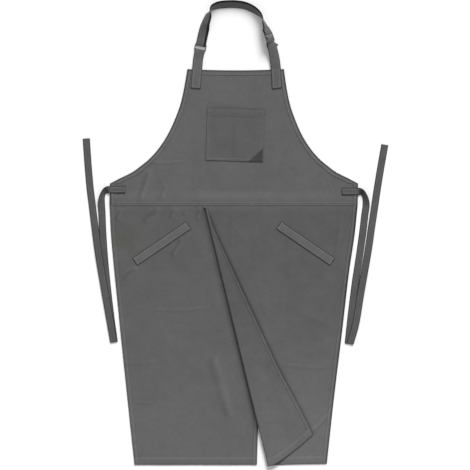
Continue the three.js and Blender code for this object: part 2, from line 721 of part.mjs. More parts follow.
function ringBar(direction) {
  const away = ringAlong.clone().multiplyScalar(direction);
  return { edge: ringCentre.clone().addScaledVector(away, ringOpening / 2), away, side: ringPlace.side };
}

const bucklePlace = atNeck(BUCKLE_STATION);
const buckleAlong = bucklePlace.along.clone().setZ(0).normalize();
const buckle = addPiece(
  'slide_buckle',
  frameSolid(BUCKLE_BAR, BUCKLE_WINDOW, 2, BUCKLE_THICKNESS),
  antiqueBrass,
);
placeFrame(buckle, bucklePlace.point, bucklePlace.side, buckleAlong);

// The strap's end that is looped on the buckle's upper bar runs back under the strap.
const buckleUp = bucklePlace.side.clone().cross(buckleAlong).normalize();
const toNeck = buckleAlong.clone().negate();
const upperBarEdge = bucklePlace.point.clone().addScaledVector(toNeck, BUCKLE_BAR / 2 + BUCKLE_WINDOW);

const TAIL_EASE = 6;

function neckStrapSolid() {
  const start = barTurn(ringBar(1), RING_BAR, RING_BAR, RING_TAIL);
  const end = barTurn(
    { edge: upperBarEdge, away: toNeck, side: bucklePlace.side },
    BUCKLE_BAR,
    BUCKLE_THICKNESS,
    BUCKLE_TAIL,
  ).reverse();
  const clearOfRing = ringOpening / 2 + RING_TAIL + TAIL_EASE;
  const clearOfBuckle = BUCKLE_BAR / 2 + BUCKLE_WINDOW + BUCKLE_TAIL + TAIL_EASE;
  const middle = neckRoute.filter((station) => (
    station.place < BUCKLE_STATION
    && station.point.distanceTo(ringCentre) > clearOfRing
    && station.point.distanceTo(bucklePlace.point) > clearOfBuckle
  ));
  return strapSolid([...start, ...middle, ...end], STRAP_WIDTH, STRAP);
}

addPiece('neck_strap', neckStrapSolid(), strapCloth);

// Tab sewn on the bib, ending in a loop on the ring's lower bar.
const onBib = CLOTH + HEM_EXTRA + GAP + STRAP / 2;
const TAB_CLEAR = 3;
const TAB_DROP = 20;

function neckTabSolid() {
  const end = barTurn(ringBar(-1), RING_BAR, RING_BAR, RING_TAIL).reverse();
  const last = end[0].point;
  const bottom = new THREE.Vector3(
    neckStations[0].x - TAB_LEAN,
    BIB_LENGTH - TAB_SEWN,
    onBib,
  );
  const flat = last.clone().sub(bottom).setZ(0).normalize();
  const start = [0, 0.25, 0.5, 0.66, 0.82].map((share) => {
    const point = bottom.clone().lerp(last, share);
    const clear = clamp01((point.y - BIB_LENGTH - TAB_CLEAR) / TAB_DROP);
    point.z = mix(onBib, last.z, clear);
    const side = new THREE.Vector3(flat.y, -flat.x, 0).lerp(ringPlace.side, share).normalize();
    return { point, side };
  });
  return strapSolid([...start, ...end], STRAP_WIDTH, STRAP);
}

addPiece('neck_tab', neckTabSolid(), strapCloth);

// Adjuster strap: sewn on the bib, under the buckle's lower bar, over its middle bar. Its tail turns
// outwards below the buckle and lies nearly flat under the strap.
const TAIL_SHARES = [1, 0.8, 0.6, 0.45, 0.3, 0.15];
const TAIL_HASTE = 1.8;
const outFromBuckle = bucklePlace.side.clone().setZ(0).normalize().negate();
const tailSide = outFromBuckle.clone().negate().applyAxisAngle(new THREE.Vector3(0, 0, 1), rad(TAIL_SPLAY));
tailSide.multiplyScalar(Math.cos(rad(TAIL_TILT))).setZ(Math.sin(rad(TAIL_TILT)));

function adjusterSolid() {
  const radius = BUCKLE_THICKNESS / 2 + GAP + STRAP / 2;
  const layer = STRAP + GAP;
  const half = BUCKLE_BAR / 2;
  const lowerBar = half + BUCKLE_WINDOW;
  const at = (down, over) => ({
    point: bucklePlace.point.clone().addScaledVector(buckleAlong, down).addScaledVector(buckleUp, over),
    side: bucklePlace.side.clone(),
  });
  const tailStart = at(lowerBar + BUCKLE_BAR, -radius - layer * 1.5);
  const outerEdgeAtStart = tailStart.point.clone().addScaledVector(tailStart.side, -STRAP_WIDTH / 2);
  const tail = TAIL_SHARES.map((share) => {
    const side = tailStart.side.clone().lerp(tailSide, Math.min(1, share * TAIL_HASTE)).normalize();
    const point = outerEdgeAtStart.clone().addScaledVector(buckleAlong, ADJUSTER_TAIL * share);
    point.addScaledVector(outFromBuckle, TAIL_OUT * share).addScaledVector(side, STRAP_WIDTH / 2);
    point.setZ(STRAP / 2 + GAP + STRAP_WIDTH / 2 * side.z);
    return { point, side };
  });
  const stations = [
    ...tail,
    tailStart,
    at(lowerBar, -radius - layer * 1.2),
    at(half + 2, -radius - layer * 0.3),
  ];
  for (const angle of steps(-90, -270, 8)) {
    stations.push(at(radius * Math.cos(rad(angle)) - half, radius * Math.sin(rad(angle))));
  }
  stations.push(at(half + 0.5, radius), at(lowerBar - 0.5, -radius), at(lowerBar + BUCKLE_BAR, -radius));
  const reach = neckRoute[neckRoute.length - 1].place - BUCKLE_STATION;
  for (const station of neckRoute) {
    const far = station.point.distanceTo(bucklePlace.point) > lowerBar + BUCKLE_BAR + 4;
    if (station.place > BUCKLE_STATION && far) {
      const up = station.side.clone().cross(station.along).normalize();
      const share = (station.place - BUCKLE_STATION) / reach;
      const point = station.point.clone().addScaledVector(up, -radius * Math.max(0, 1 - 1.4 * share));
      stations.push({ point, side: station.side.clone() });
    }
  }
  const edge = stations[stations.length - 1];
  const bottom = edge.point.clone();
  bottom.x += ADJUSTER_LEAN;
  bottom.y = BIB_LENGTH - TAB_SEWN;
  for (const share of [0.4, 1]) {
    const point = edge.point.clone().lerp(bottom, share);
    point.z = onBib;
    stations.push({ point, side: edge.side.clone() });
  }
  return strapSolid(stations, STRAP_WIDTH, STRAP);
}

addPiece('adjuster_strap', adjusterSolid(), strapCloth);

// Waist ties. Each is sewn on at the waist, runs out and down, turns under and lies back on itself.
const TIE_SAMPLES = 3;

function tieSolid(leg, back) {
  const tieHeight = WAIST_EDGE_HEIGHT - leg.tieMargin - TIE_WIDTH / 2;
  const place = (row, out) => {
    const height = tieHeight - row.down * TIE_DROP;
    const edge = Math.abs(outerEdge(leg, Math.max(0, -height)));
    return {
      x: leg.sign * (edge + out * TIE_WIDTH),
      y: height,
      tilt: -leg.sign * (row.tilt ?? 0),
      layers: row.layers,
    };
  };
  const wayDown = strapRoute(
    TIE_DOWN.map((row) => place(row, row[leg.column])),
    TIE_WIDTH,
    STRAP,
    TIE_SAMPLES,
  );
  const wayBack = strapRoute(back.map((row) => place(row, row.out)), TIE_WIDTH, STRAP, TIE_SAMPLES);
  const sewnHeight = onBib + bibLift(leg.sign * WAIST_WIDTH / 2, tieHeight - TIE_WIDTH / 2);
  const sewnAt = (inside) => ({
    point: new THREE.Vector3(leg.sign * (WAIST_WIDTH / 2 - inside), tieHeight, sewnHeight),
    side: new THREE.Vector3(0, -leg.sign, 0),
  });
  const sewn = [TIE_SEWN + 6, TIE_SEWN / 2 + 6, 1].map(sewnAt);
  const lowest = wayDown[wayDown.length - 1];
  const highest = wayBack[0];
  const radius = (highest.point.z - lowest.point.z) / 2;
  const turn = steps(0, 180, 8).slice(1, -1).map((angle) => {
    const share = angle / 180;
    const point = lowest.point.clone().lerp(highest.point, share);
    point.addScaledVector(lowest.along, radius * Math.sin(rad(angle)));
    point.z = lowest.point.z + radius * (1 - Math.cos(rad(angle)));
    return { point, side: lowest.side.clone().lerp(highest.side.clone().negate(), share).normalize() };
  });
  const returned = wayBack.map((station) => ({ point: station.point, side: station.side.clone().negate() }));
  return strapSolid([...sewn, ...wayDown, ...turn, ...returned], TIE_WIDTH, STRAP);
}

for (const [name, leg] of Object.entries(LEGS)) {
  addPiece(`waist_tie_${name}`, tieSolid(leg, TIE_BACK[name]), strapCloth);
}

export default apron;
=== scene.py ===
import math

import bpy
import numpy as np
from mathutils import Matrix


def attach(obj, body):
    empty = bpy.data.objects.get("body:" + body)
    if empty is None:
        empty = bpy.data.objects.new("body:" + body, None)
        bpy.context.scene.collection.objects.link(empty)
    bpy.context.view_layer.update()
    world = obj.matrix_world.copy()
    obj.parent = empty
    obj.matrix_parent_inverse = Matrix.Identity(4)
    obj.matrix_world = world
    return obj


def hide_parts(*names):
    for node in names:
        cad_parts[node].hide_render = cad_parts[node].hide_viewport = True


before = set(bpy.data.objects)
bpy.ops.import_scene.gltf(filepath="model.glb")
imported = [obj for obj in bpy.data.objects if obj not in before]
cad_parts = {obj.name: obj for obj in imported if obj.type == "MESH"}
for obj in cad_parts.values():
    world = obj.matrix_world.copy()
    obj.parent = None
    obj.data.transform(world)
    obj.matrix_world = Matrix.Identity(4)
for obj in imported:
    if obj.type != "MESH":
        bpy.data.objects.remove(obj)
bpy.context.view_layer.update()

# Sizes in millimetres, as in the solids that these pieces stand for.
CLOTH, HEM_EXTRA, GAP = 1.0, 0.8, 0.3
SIDE_HEM, LEG_HEM, BIB_TOP_HEM, SEAM_ALLOWANCE = 12.0, 21.0, 14.0, 10.0
WAIST_WIDTH, BIB_LENGTH, BIB_TOP_WIDTH = 699.0, 384.5, 272.0
WAIST_EDGE_HEIGHT, BIB_LEAN, BIB_TOP_DIP = 62.0, 5.6, 3.6
SKIRT_LENGTH, OVERLAP = 731.0, 175.0
OUTER_TAPER = {-1: 70.0, 1: 87.0}
INNER_TAPER = {-1: 22.0, 1: 27.0}
FOLD_START, FOLD_ANGLE = 5.0, math.radians(13.52)
FOLD_RADIUS_TOP, FOLD_RADIUS_HEM, FLAP_SETTLE = 1.2, 4.6, 70.0
POCKET_WIDTH, POCKET_DEPTH, POCKET_HEIGHT = 162.0, 150.0, 125.0
POCKET_TILT, PEN_SLOT, POCKET_SEAM = math.radians(-1.74), 42.0, 4.0
PATCH_SIDE, PATCH_EDGE, PATCH_THICKNESS = 39.0, 1.5, 0.8
WELT_LENGTH, WELT_WIDTH, WELT_ANGLE = 184.0, 26.0, math.radians(34.3)
WELT_OUT, WELT_DOWN = 203.0, 107.0
STRAP_WIDTH, STRAP, STRAP_INSET = 28.0, 1.6, 24.5
LOOP_RISE, LOOP_SHIFT, TAB_SEWN, TAB_LEAN, ADJUSTER_LEAN = 182.5, 2.0, 54.0, 13.5, 3.0
RING_WINDOW, RING_BAR = 7.6, 2.0
BUCKLE_BAR, BUCKLE_WINDOW, BUCKLE_THICKNESS = 3.4, 9.0, 2.5
SIDE_CLEARANCE, FLAP_CLEAR, RING_TAIL, BUCKLE_TAIL = 0.4, 0.4, 26.0, 15.0
ADJUSTER_TAIL, TAIL_OUT = 13.5, 12.2
TAIL_SPLAY, TAIL_TILT = math.radians(17), math.radians(10)
TIE_WIDTH, TIE_SEWN, TIE_DROP = 20.0, 38.0, 429.0
TIE_MARGIN = {-1: 7.0, 1: 12.0}
LEG_LIFT = CLOTH + HEM_EXTRA + GAP
LIFT_MARGIN, LIFT_RAMP, SEAM_MARGIN, SEAM_RAMP, OVERLAP_RAMP, BIB_EASE = 4.0, 20.0, 4.0, 30.0, 20.0, 2.0
ON_BIB = CLOTH + HEM_EXTRA + GAP + STRAP / 2
# Sizes of these pieces alone: the flap, the neck strap, stitch lines, bulges, and rises over waves.
FLAP_DRAWN, FLAP_HEM, FOLD_OPENING, NECK_STRAP = 9.3, 8.2, 14.0, 2.2
SIDE_STITCH, LEG_STITCH, ARM_STITCH, TOP_STITCH, WAIST_STITCH = 8.8, 18.6, 7.6, 11.4, 3.2
POCKET_STITCHES, POCKET_HEM, POCKET_HEM_STITCH, WELT_STITCH, STRAP_STITCH = (2.2, 6.6), 24.0, 21.5, 3.0, 2.6
POCKET_BULGE, PEN_BULGE, PATCH_TIP, SEAM_RISE, SEWN_RISE, TIE_RISE = 2.6, 2.0, 1.5, 1.3, 1.1, 1.2
BIB_CLEAR, POCKET_CLEAR, POCKET_TURNED, STRAP_STEP, RING_ROUND, BUCKLE_ROUND = 0.5, 1.3, 8.0, 2.2, 0.7, 0.8

# The armhole's edge: share of the height above the waist edge, and share of the way out.
ARMHOLE = np.array([
    (0.0, 1.0), (0.045, 0.87), (0.1, 0.705), (0.155, 0.593), (0.21, 0.493), (0.31, 0.36),
    (0.43, 0.246), (0.56, 0.157), (0.7, 0.083), (0.85, 0.035), (1.0, 0.0),
])
# The outer edges of the legs: share of the length, and share of each leg's taper, left and right.
LEG_SIDE = np.array([
    (0.0, 0.0, 0.0), (0.1, 0.045, 0.085), (0.26, 0.2, 0.28),
    (0.5, 0.45, 0.515), (0.75, 0.72, 0.77), (1.0, 1.0, 1.0),
])
# The right leg's hem before it is rolled: share of the way across, and the drop as a share of the length.
RIGHT_HEM = np.array([
    (0.0, -0.021), (0.2, 0.0), (0.42, 0.0125), (0.52, 0.003), (0.75, -0.002), (1.0, -0.004),
])
# The neck strap's stations: across, up, tilt in degrees, layers below.
NECK_ROUTE = [
    (-0.91, 0.334, 0, 1.4), (-0.85, 0.516, 0, 1.0), (-0.815, 0.608, 8, 0.4), (-0.78, 0.7, 33, 0),
    (-0.726, 0.79, 44, 0), (-0.7, 0.84, 54, 0), (-0.672, 0.89, 88, 0), (-0.6, 0.95, 122, 0),
    (-0.47, 0.985, 135, 0), (-0.291, 1.0, 139, 0), (-0.038, 1.003, 140, 0), (0.215, 0.98, 138, 0),
    (0.42, 0.925, 133, 0), (0.58, 0.85, 117, 0), (0.66, 0.785, 95, 0.5), (0.7, 0.71, 72, 1.6),
    (0.755, 0.62, 60, 3.0), (0.832, 0.49, 49, 4.1), (0.892, 0.385, 33, 3.7), (0.93, 0.28, 17, 2.5),
    (0.97, 0.15, 6, 1.6), (1.0, 0.0, 0, 1.1),
]
BUCKLE_STATION = 17
# The waist ties on their way down: out at the left, out at the right, down, tilt, layers below.
TIE_DOWN = [
    (0.1, 0.1, 0.0, 0, 1.9), (0.5, 0.5, 0.004, 26, 0.5), (0.9, 0.9, 0.023, 46, 0),
    (1.12, 1.14, 0.055, 32, 0), (1.17, 1.2, 0.095, 9, 0), (1.14, 1.15, 0.15, 2, 0),
    (1.15, 1.12, 0.25, 0, 0), (1.22, 1.13, 0.43, 0, 0), (1.24, 1.07, 0.62, 0, 0),
    (1.17, 1.03, 0.82, 0, 0), (1.04, 1.05, 1.0, 0, 0),
]
# The ties on their way back up: out, down, layers below.
TIE_BACK = {
    -1: [
        (1.1, 1.0, 1), (1.31, 0.865, 1), (1.64, 0.664, 1), (2.0, 0.413, 1), (2.2, 0.249, 0.4),
        (2.46, 0.105, 0), (2.75, -0.003, 0), (3.03, -0.148, 0), (3.31, -0.336, 0),
    ],
    1: [
        (1.32, 1.0, 1), (1.76, 0.88, 1), (2.0, 0.68, 1), (2.24, 0.387, 1), (2.26, 0.247, 0.4),
        (2.42, 0.104, 0), (2.77, -0.015, 0), (3.28, -0.16, 0), (3.84, -0.307, 0),
    ],
}
# Soft creases that were pressed or pulled into the cloth: two ends, half width and height.
CREASES = [
    (-208, -10, -255, -45, 9, 0.9), (-163, -6, -180, -36, 6, 0.9), (-134, -6, -141, -28, 5, 0.7),
    (-95, -6, -104, -40, 5, 0.8), (-316, -10, -331, -42, 7, 0.7), (-273, -176, -312, -206, 7, 1.1),
    (-143, -90, -175, -145, 6, 0.9), (-222, -294, -72, -288, 3, 0.26), (-363, -441, -208, -441, 4, 0.2),
    (-278, -554, -222, -556, 4, 0.2), (-4, -8, -4, -112, 2, 0.35), (-236, 100, -264, 15, 8, 0.8),
    (-190, 60, -206, 14, 6, 0.5), (300, -55, 286, -140, 7, 0.25), (140, -448, 270, -458, 4, 0.2),
    (221, -638, 266, -591, 5, 0.35), (-236, 122, -138, 124, 3, 0.3), (120, 80, 150, 190, 10, 0.15),
    (-60, -420, -10, -600, 14, 0.5), (60, -180, 100, -330, 10, 0.1), (190, -300, 280, -340, 12, 0.14),
]
# Short ripples: middle, direction in degrees, length, spacing, count and height.
RIPPLES = [
    (115, -510, 40, 34, 11, 6, 0.45), (190, -620, 50, 40, 13, 4, 0.4), (-250, 45, 60, 60, 16, 5, 0.12),
    (255, 50, 115, 60, 16, 4, 0.35), (-110, 300, 95, 40, 9, 3, 0.15),
]


def smooth(value):
    value = np.clip(value, 0.0, 1.0)
    return value * value * (3 - 2 * value)


def bell(distance, width):
    return np.exp(-((distance / width) ** 2))


def bells(distance, *strokes):
    """A sum of strokes, each with its strength, its place and its width."""
    return sum(strength * bell(distance - place, width) for strength, place, width in strokes)


def from_line(x, y, x0, y0, ux, uy):
    """Distances of a place from a point, along a direction and to the left of it."""
    return (x - x0) * ux + (y - y0) * uy, (y - y0) * ux - (x - x0) * uy


def on_crease(x, y, x0, y0, x1, y1):
    """A crease's length, and the distances of a place along it and to the left of it."""
    length = math.hypot(x1 - x0, y1 - y0)
    return length, *from_line(x, y, x0, y0, (x1 - x0) / length, (y1 - y0) / length)


def grid_noise(x, y, period, seed):
    """Smooth random heights from -1 to 1 over the ground, with one value per period."""
    table = np.random.default_rng(seed).uniform(-1, 1, (64, 64))
    u, v = np.asarray(x) / period + 17.3, np.asarray(y) / period + 9.1
    i, j = np.floor(u).astype(int), np.floor(v).astype(int)
    a, b = smooth(u - i), smooth(v - j)
    at = lambda p, q: table[p % 64, q % 64]
    low = at(i, j) * (1 - a) + at(i + 1, j) * a
    high = at(i, j + 1) * (1 - a) + at(i + 1, j + 1) * a
    return low * (1 - b) + high * b


def relief(x, y):
    """How far the cloth stands off the ground under every layer, from creases and soft waves."""
    x, y = np.asarray(x, float), np.asarray(y, float)
    z = 0.6 * (1 + grid_noise(x, y, 95, 1)) + 0.3 * (1 + grid_noise(x, y, 38, 2))
    z = z + 0.11 * (1 + grid_noise(x, y * 0.7, 15, 3)) + 0.05 * (1 + grid_noise(x, y, 8, 4))
    for x0, y0, x1, y1, width, height in CREASES:
        length, along, across = on_crease(x, y, x0, y0, x1, y1)
        bend = 0.04 * length * np.sin(np.pi * np.clip(along / length, 0, 1)) * math.copysign(1, x0 + y0)
        ends = smooth(along / (0.25 * length) + 0.3) * smooth((length - along) / (0.25 * length) + 0.3)
        z = z + 3.0 * height * bell(across - bend, 0.85 * width) * ends
    for x0, y0, turn, length, spacing, count, height in RIPPLES:
        turn = math.radians(turn)
        along, across = from_line(x, y, x0, y0, math.cos(turn), math.sin(turn))
        inside = bell(along, length / 2) * bell(across, spacing * count / 2)
        z = z + height * inside * (1 + np.cos(2 * np.pi * (across + 0.15 * along) / spacing))
    return z


def smooth_table(table, place, column=1):
    """A table's column at a place, along a curve without overshoot."""
    x, y = table[:, 0], table[:, column]
    step = np.diff(y) / np.diff(x)
    slope = np.zeros(len(x))
    for k in range(1, len(x) - 1):
        if step[k - 1] * step[k] > 0:
            slope[k] = 2 / (1 / step[k - 1] + 1 / step[k])
    slope[0], slope[-1] = step[0], step[-1]
    place = np.clip(place, x[0], x[-1])
    k = np.clip(np.searchsorted(x, place) - 1, 0, len(x) - 2)
    width = x[k + 1] - x[k]
    t = (place - x[k]) / width
    return (
        y[k] * (1 + 2 * t) * (1 - t) ** 2 + slope[k] * width * t * (1 - t) ** 2
        + y[k + 1] * t * t * (3 - 2 * t) + slope[k + 1] * width * t * t * (t - 1)
    )


def outer_edge(leg, depth):
    """Where a leg's outer edge lies at a depth below the waist. The left leg is -1 and the right one 1."""
    share = np.clip(np.asarray(depth) / SKIRT_LENGTH, 0, 1)
    return leg * (WAIST_WIDTH / 2 - OUTER_TAPER[leg] * smooth_table(LEG_SIDE, share, 1 if leg < 0 else 2))


def inner_edge(leg, depth):
    """Where a leg's inner edge lies at a depth, past the middle of the apron."""
    return -leg * (OVERLAP / 2 - INNER_TAPER[leg] * np.clip(np.asarray(depth) / SKIRT_LENGTH, 0, 1))


def right_lift(x, depth):
    """How far the right leg is lifted where it lies on the left one."""
    edge = inner_edge(-1, depth) + LIFT_MARGIN
    return LEG_LIFT * (1 - smooth((x - edge) / LIFT_RAMP))


def seam_rise(depth):
    """The legs come up to the bib's lower edge, where the seam holds them together."""
    return SEAM_RISE * (1 - smooth(depth / 34))


def hem_height(distance, width, stitch):
    """Extra thickness of a hem at a distance from its edge, with a groove along its stitch line."""
    step = smooth(width + 0.5 - distance)
    return HEM_EXTRA * step + bells(distance, (-0.28, stitch, 0.8), (0.12, width - 1, 1.0))


def hem_shade(distance, width, stitch, edge=0.45, reach=2.4):
    """Change of tone across a hem: painted shade at its edge and at its inner line, and a lighter line beside
    its stitch line.
    """
    lines = (0.22, stitch, 1.5), (0.04, stitch - 3, 2.0), (-0.08, width + 0.8, 1.6)
    return bells(distance, (-edge, 0, reach), *lines)


def rounding(distance):
    """Share of the thickness that is left near an edge."""
    return np.sqrt(np.clip(1 - (1 - np.clip(distance / 1.1, 0, 1)) ** 2, 0.06, 1))


# Places across a hem, closer where its thickness changes.
EDGE_STEPS = np.array([0, 0.2, 0.6, 1.1, 2.2, 4, 6, 7.6, 8.8, 10, 11.2, 11.8, 12.3, 12.8, 13.6, 15.5])
BOTTOM_STEPS = np.array([
    0, 0.2, 0.6, 1.1, 2.5, 5, 8, 11, 14, 16.5, 17.6, 18.6, 19.6, 20.5, 21.1, 21.7, 22.6, 24.5,
])


def link_object(name, data):
    thing = bpy.data.objects.new(name, data)
    bpy.context.scene.collection.objects.link(thing)
    return thing


def mesh_piece(name, vertices, faces, uv, shade, stain=None):
    """A mesh object from points in millimetres, with its cloth coordinates and its painted shade."""
    mesh = bpy.data.meshes.new(name)
    mesh.from_pydata((np.asarray(vertices) / 1000).tolist(), [], faces)
    uv = np.asarray(uv, float)
    index = np.zeros(len(mesh.loops), int)
    mesh.loops.foreach_get("vertex_index", index)
    mesh.uv_layers.new(name="cloth").data.foreach_set("uv", (uv[index] / 100).ravel())
    stain = np.zeros(len(uv)) if stain is None else stain
    for key, painted in (("shade", shade), ("stain", stain)):
        values = mesh.attributes.new(key, "FLOAT", "POINT")
        values.data.foreach_set("value", np.asarray(painted, np.float32).ravel())
    mesh.polygons.foreach_set("use_smooth", [True] * len(mesh.polygons))
    mesh.update()
    return link_object(name, mesh)


def sheet_piece(name, top, bottom, uv, shade, stain=None):
    """A closed sheet from two grids of points, joined round the rim."""
    rows, columns = top.shape[:2]
    vertices = np.concatenate([top.reshape(-1, 3), bottom.reshape(-1, 3)])
    layer = rows * columns
    index = np.arange(layer).reshape(rows, columns)
    a, b = index[:-1, :-1].ravel(), index[:-1, 1:].ravel()
    c, d = index[1:, 1:].ravel(), index[1:, :-1].ravel()
    upper = np.stack([a, b, c, d], 1)
    rim = np.concatenate([index[0, :-1], index[:-1, -1], index[-1, :0:-1], index[:0:-1, 0]])
    after = np.roll(rim, -1)
    sides = np.stack([rim, rim + layer, after + layer, after], 1)
    faces = np.concatenate([upper, upper[:, ::-1] + layer, sides])
    p = vertices[faces]
    volume = np.einsum("ij,ij->i", p[:, 0], np.cross(p[:, 1], p[:, 2])).sum()
    volume += np.einsum("ij,ij->i", p[:, 0], np.cross(p[:, 2], p[:, 3])).sum()
    if volume < 0:
        faces = faces[:, ::-1]
    twice = lambda grid: np.concatenate([grid.reshape(layer, -1)] * 2)
    stained = None if stain is None else twice(stain)
    return mesh_piece(name, vertices, faces.tolist(), twice(uv), twice(shade), stained)


def sheet_of_rows(name, rows):
    """A sheet from rows across it: upper points, lower points, cloth coordinates, shade and stain."""
    return sheet_piece(name, *(np.array(grid) for grid in zip(*rows)))


def laid(x, y, low, thick):
    """The two faces of cloth over a height, with its middle no lower than that of a plain layer."""
    middle = low + np.maximum(thick, CLOTH) / 2
    return np.stack([x, y, middle + thick / 2], -1), np.stack([x, y, middle - thick / 2], -1)


def crease_shade(x, y):
    """Creases are a little darker on the side away from the light."""
    shade = 0.0
    for x0, y0, x1, y1, width, height in CREASES:
        length, along, across = on_crease(x, y, x0, y0, x1, y1)
        ends = smooth(along / 12) * smooth((length - along) / 12)
        sides = bells(across, (1, 0.6 * width, 0.7 * width), (-1, -0.6 * width, 0.7 * width))
        shade = shade + 0.2 * height * sides * ends
    return shade


def shade_of_place(x, y):
    """Slow changes of tone: the lower legs are a little lighter, the cloth is mottled, and creases get
    painted shade.
    """
    mottle = 0.03 * grid_noise(x, y, 120, 21) + 0.025 * grid_noise(x, y, 34, 22)
    mottle = mottle + 0.02 * grid_noise(x, y * 0.3, 11, 23) + 0.02 * grid_noise(x * 0.3, y, 11, 24)
    return 0.13 * smooth(-y / 700) + mottle + crease_shade(x, y)


def olive_stain(x, y):
    middle = bell(np.hypot((x + 302) / 44, (y + 94) / 36), 0.8)
    return middle * (0.75 + 0.25 * grid_noise(x, y, 14, 5))


def spread(low, high, step):
    return np.linspace(low, high, max(2, int(round((high - low) / step)) + 1))


def leg_depths():
    start = SKIRT_LENGTH - BOTTOM_STEPS[::-1]
    return np.concatenate([[-SEAM_ALLOWANCE, -4.0], spread(0, start[0], 3.3)[:-1], start])


def leg_cloth(x, outer, inner, depth, hem=SIDE_HEM, hemmed=1, outer_edge_shade=(0.25, 2.4)):
    """Thickness and shade of a leg, from its distances to the three free edges."""
    side, middle, bottom = abs(x - outer), abs(x - inner), np.full_like(x, SKIRT_LENGTH - depth)
    scaled = middle * SIDE_HEM / max(hem, 1)
    height = CLOTH + np.maximum.reduce([
        hem_height(side, SIDE_HEM, SIDE_STITCH),
        hem_height(scaled, SIDE_HEM, SIDE_STITCH) * hemmed,
        hem_height(bottom, LEG_HEM, LEG_STITCH),
    ])
    height = height * np.minimum.reduce([rounding(side), rounding(middle), rounding(bottom)])
    shade = hem_shade(side, SIDE_HEM, SIDE_STITCH, *outer_edge_shade)
    shade = shade + hem_shade(bottom, LEG_HEM, LEG_STITCH, 0.4)
    return height, shade + hem_shade(scaled, SIDE_HEM, SIDE_STITCH) * hemmed


def left_leg():
    rows = []
    for depth in leg_depths():
        outer, inner = float(outer_edge(-1, depth)), float(inner_edge(-1, depth))
        hem = EDGE_STEPS[-1] + 3
        body = np.linspace(outer + hem, inner - hem, 118)
        x = np.concatenate([outer + EDGE_STEPS, body, inner - EDGE_STEPS[::-1]])
        y = np.full_like(x, -depth)
        height, shade = leg_cloth(x, outer, inner, depth)
        pucker = bell(x - outer - 10, 7) * np.sin(y / 3.1 + 2 * grid_noise(x, y, 30, 11))
        above_hem = SKIRT_LENGTH - depth - 16
        pucker = pucker + bell(above_hem, 8) * np.sin(x / 3.4 + 2 * grid_noise(x, y, 30, 12))
        climb = 1 + LEG_LIFT / SEAM_RISE * smooth((x - LIFT_LEFT + OVERLAP_RAMP) / OVERLAP_RAMP)
        from_fold = x - fold_line(-depth)
        low = relief(x, y) + 0.18 * np.maximum(pucker, 0)
        low = low + seam_rise(depth) * climb * (1 - smooth((from_fold + 7) / 5))
        # Painted shadow on the left leg under the edge of the right leg's fold, and painted light near the
        # waist seam.
        shade = shade + shade_of_place(x, y) - 0.3 * bell(from_fold + 3, 9) * smooth(depth / 20)
        shade = shade - 0.12 + 0.03 * smooth(depth / 700) + 0.09 * (1 - smooth(depth / 30))
        rows.append((*laid(x, y, low, height), np.stack([x, y], 1), 1 + shade, olive_stain(x, y)))
    return sheet_of_rows("leg_left_cloth", rows)


# The right leg and the line that it is rolled along.
FOLD_FROM = np.array([-OVERLAP / 2 + FOLD_START, 0.0])
FOLD_ALONG = np.array([math.sin(FOLD_ANGLE), -math.cos(FOLD_ANGLE)])
FOLD_OUT = np.array([math.cos(FOLD_ANGLE), math.sin(FOLD_ANGLE)])


def fold_line(y):
    """Where the right leg is folded, across, at a place up or down."""
    return FOLD_FROM[0] - y * math.tan(FOLD_ANGLE)


def fold_bend(along, flap_width):
    """Angle of the fold at a place along it, and how much cloth lies in its bend."""
    length = SKIRT_LENGTH / math.cos(FOLD_ANGLE)
    radius = FOLD_RADIUS_TOP + (FOLD_RADIUS_HEM - FOLD_RADIUS_TOP) * np.clip(along / length, 0, 1)
    freed = smooth(along / FOLD_OPENING)
    angle = np.maximum(0.02, np.minimum(math.pi, 1.7 * flap_width / radius) * freed)
    return angle, np.maximum(radius * angle, 1.2)


def roll(x, y, half):
    """Places of the unrolled right leg: points in the middle of the cloth and the cloth's normals."""
    along, out = from_line(x, y, *FOLD_FROM, *FOLD_ALONG)
    _, edge_out = from_line(inner_edge(1, -y), y, *FOLD_FROM, *FOLD_ALONG)
    flap = np.maximum(-edge_out, 1)
    angle, cloth = fold_bend(along, flap)
    travelled = np.maximum(cloth / 2 - out, 0)
    turned = angle * np.minimum(1, travelled / cloth)
    radius = cloth / angle
    beyond = np.maximum(0, travelled - cloth)
    out_now = cloth / 2 - radius * np.sin(turned) - beyond * np.cos(turned)
    on = travelled > 0
    px = np.where(on, FOLD_FROM[0] + along * FOLD_ALONG[0] + out_now * FOLD_OUT[0], x)
    py = np.where(on, FOLD_FROM[1] + along * FOLD_ALONG[1] + out_now * FOLD_OUT[1], y)
    drawn = FLAP_DRAWN * smooth((-py - 6) / 30) * (1 - smooth((-py - 430) / 190))
    drawn = np.minimum(drawn, 0.45 * flap) * np.minimum(1, beyond / np.maximum(flap - cloth / 2, 1))
    px = px - drawn
    low = right_lift(px, -py) + relief(px, py) + seam_rise(-py)
    risen = low + half + radius * (1 - np.cos(turned)) + 0.4 * beyond * np.sin(turned)
    settle = np.minimum(FLAP_SETTLE, 0.8 * flap)
    spare = np.maximum(0, 2 * radius - CLOTH - GAP) * (1 - smooth(beyond / settle))
    rested = low + CLOTH + GAP + FLAP_CLEAR + spare + half
    folded = np.where(beyond > 0, smooth((angle / math.pi - 0.8) / 0.2), 0)
    pz = np.where(on, risen + (rested - risen) * folded, low + half)
    lean = np.where(on, np.sin(turned), 0)
    normal = np.stack([FOLD_OUT[0] * lean, FOLD_OUT[1] * lean, np.where(on, np.cos(turned), 1)], -1)
    return np.stack([px, py, pz], -1), normal, beyond


def right_y(x, depth, outer, inner):
    """A row of the right leg's cloth, bent as its hem is cut."""
    return -depth * (1 + smooth_table(RIGHT_HEM, (x - inner) / (outer - inner)))


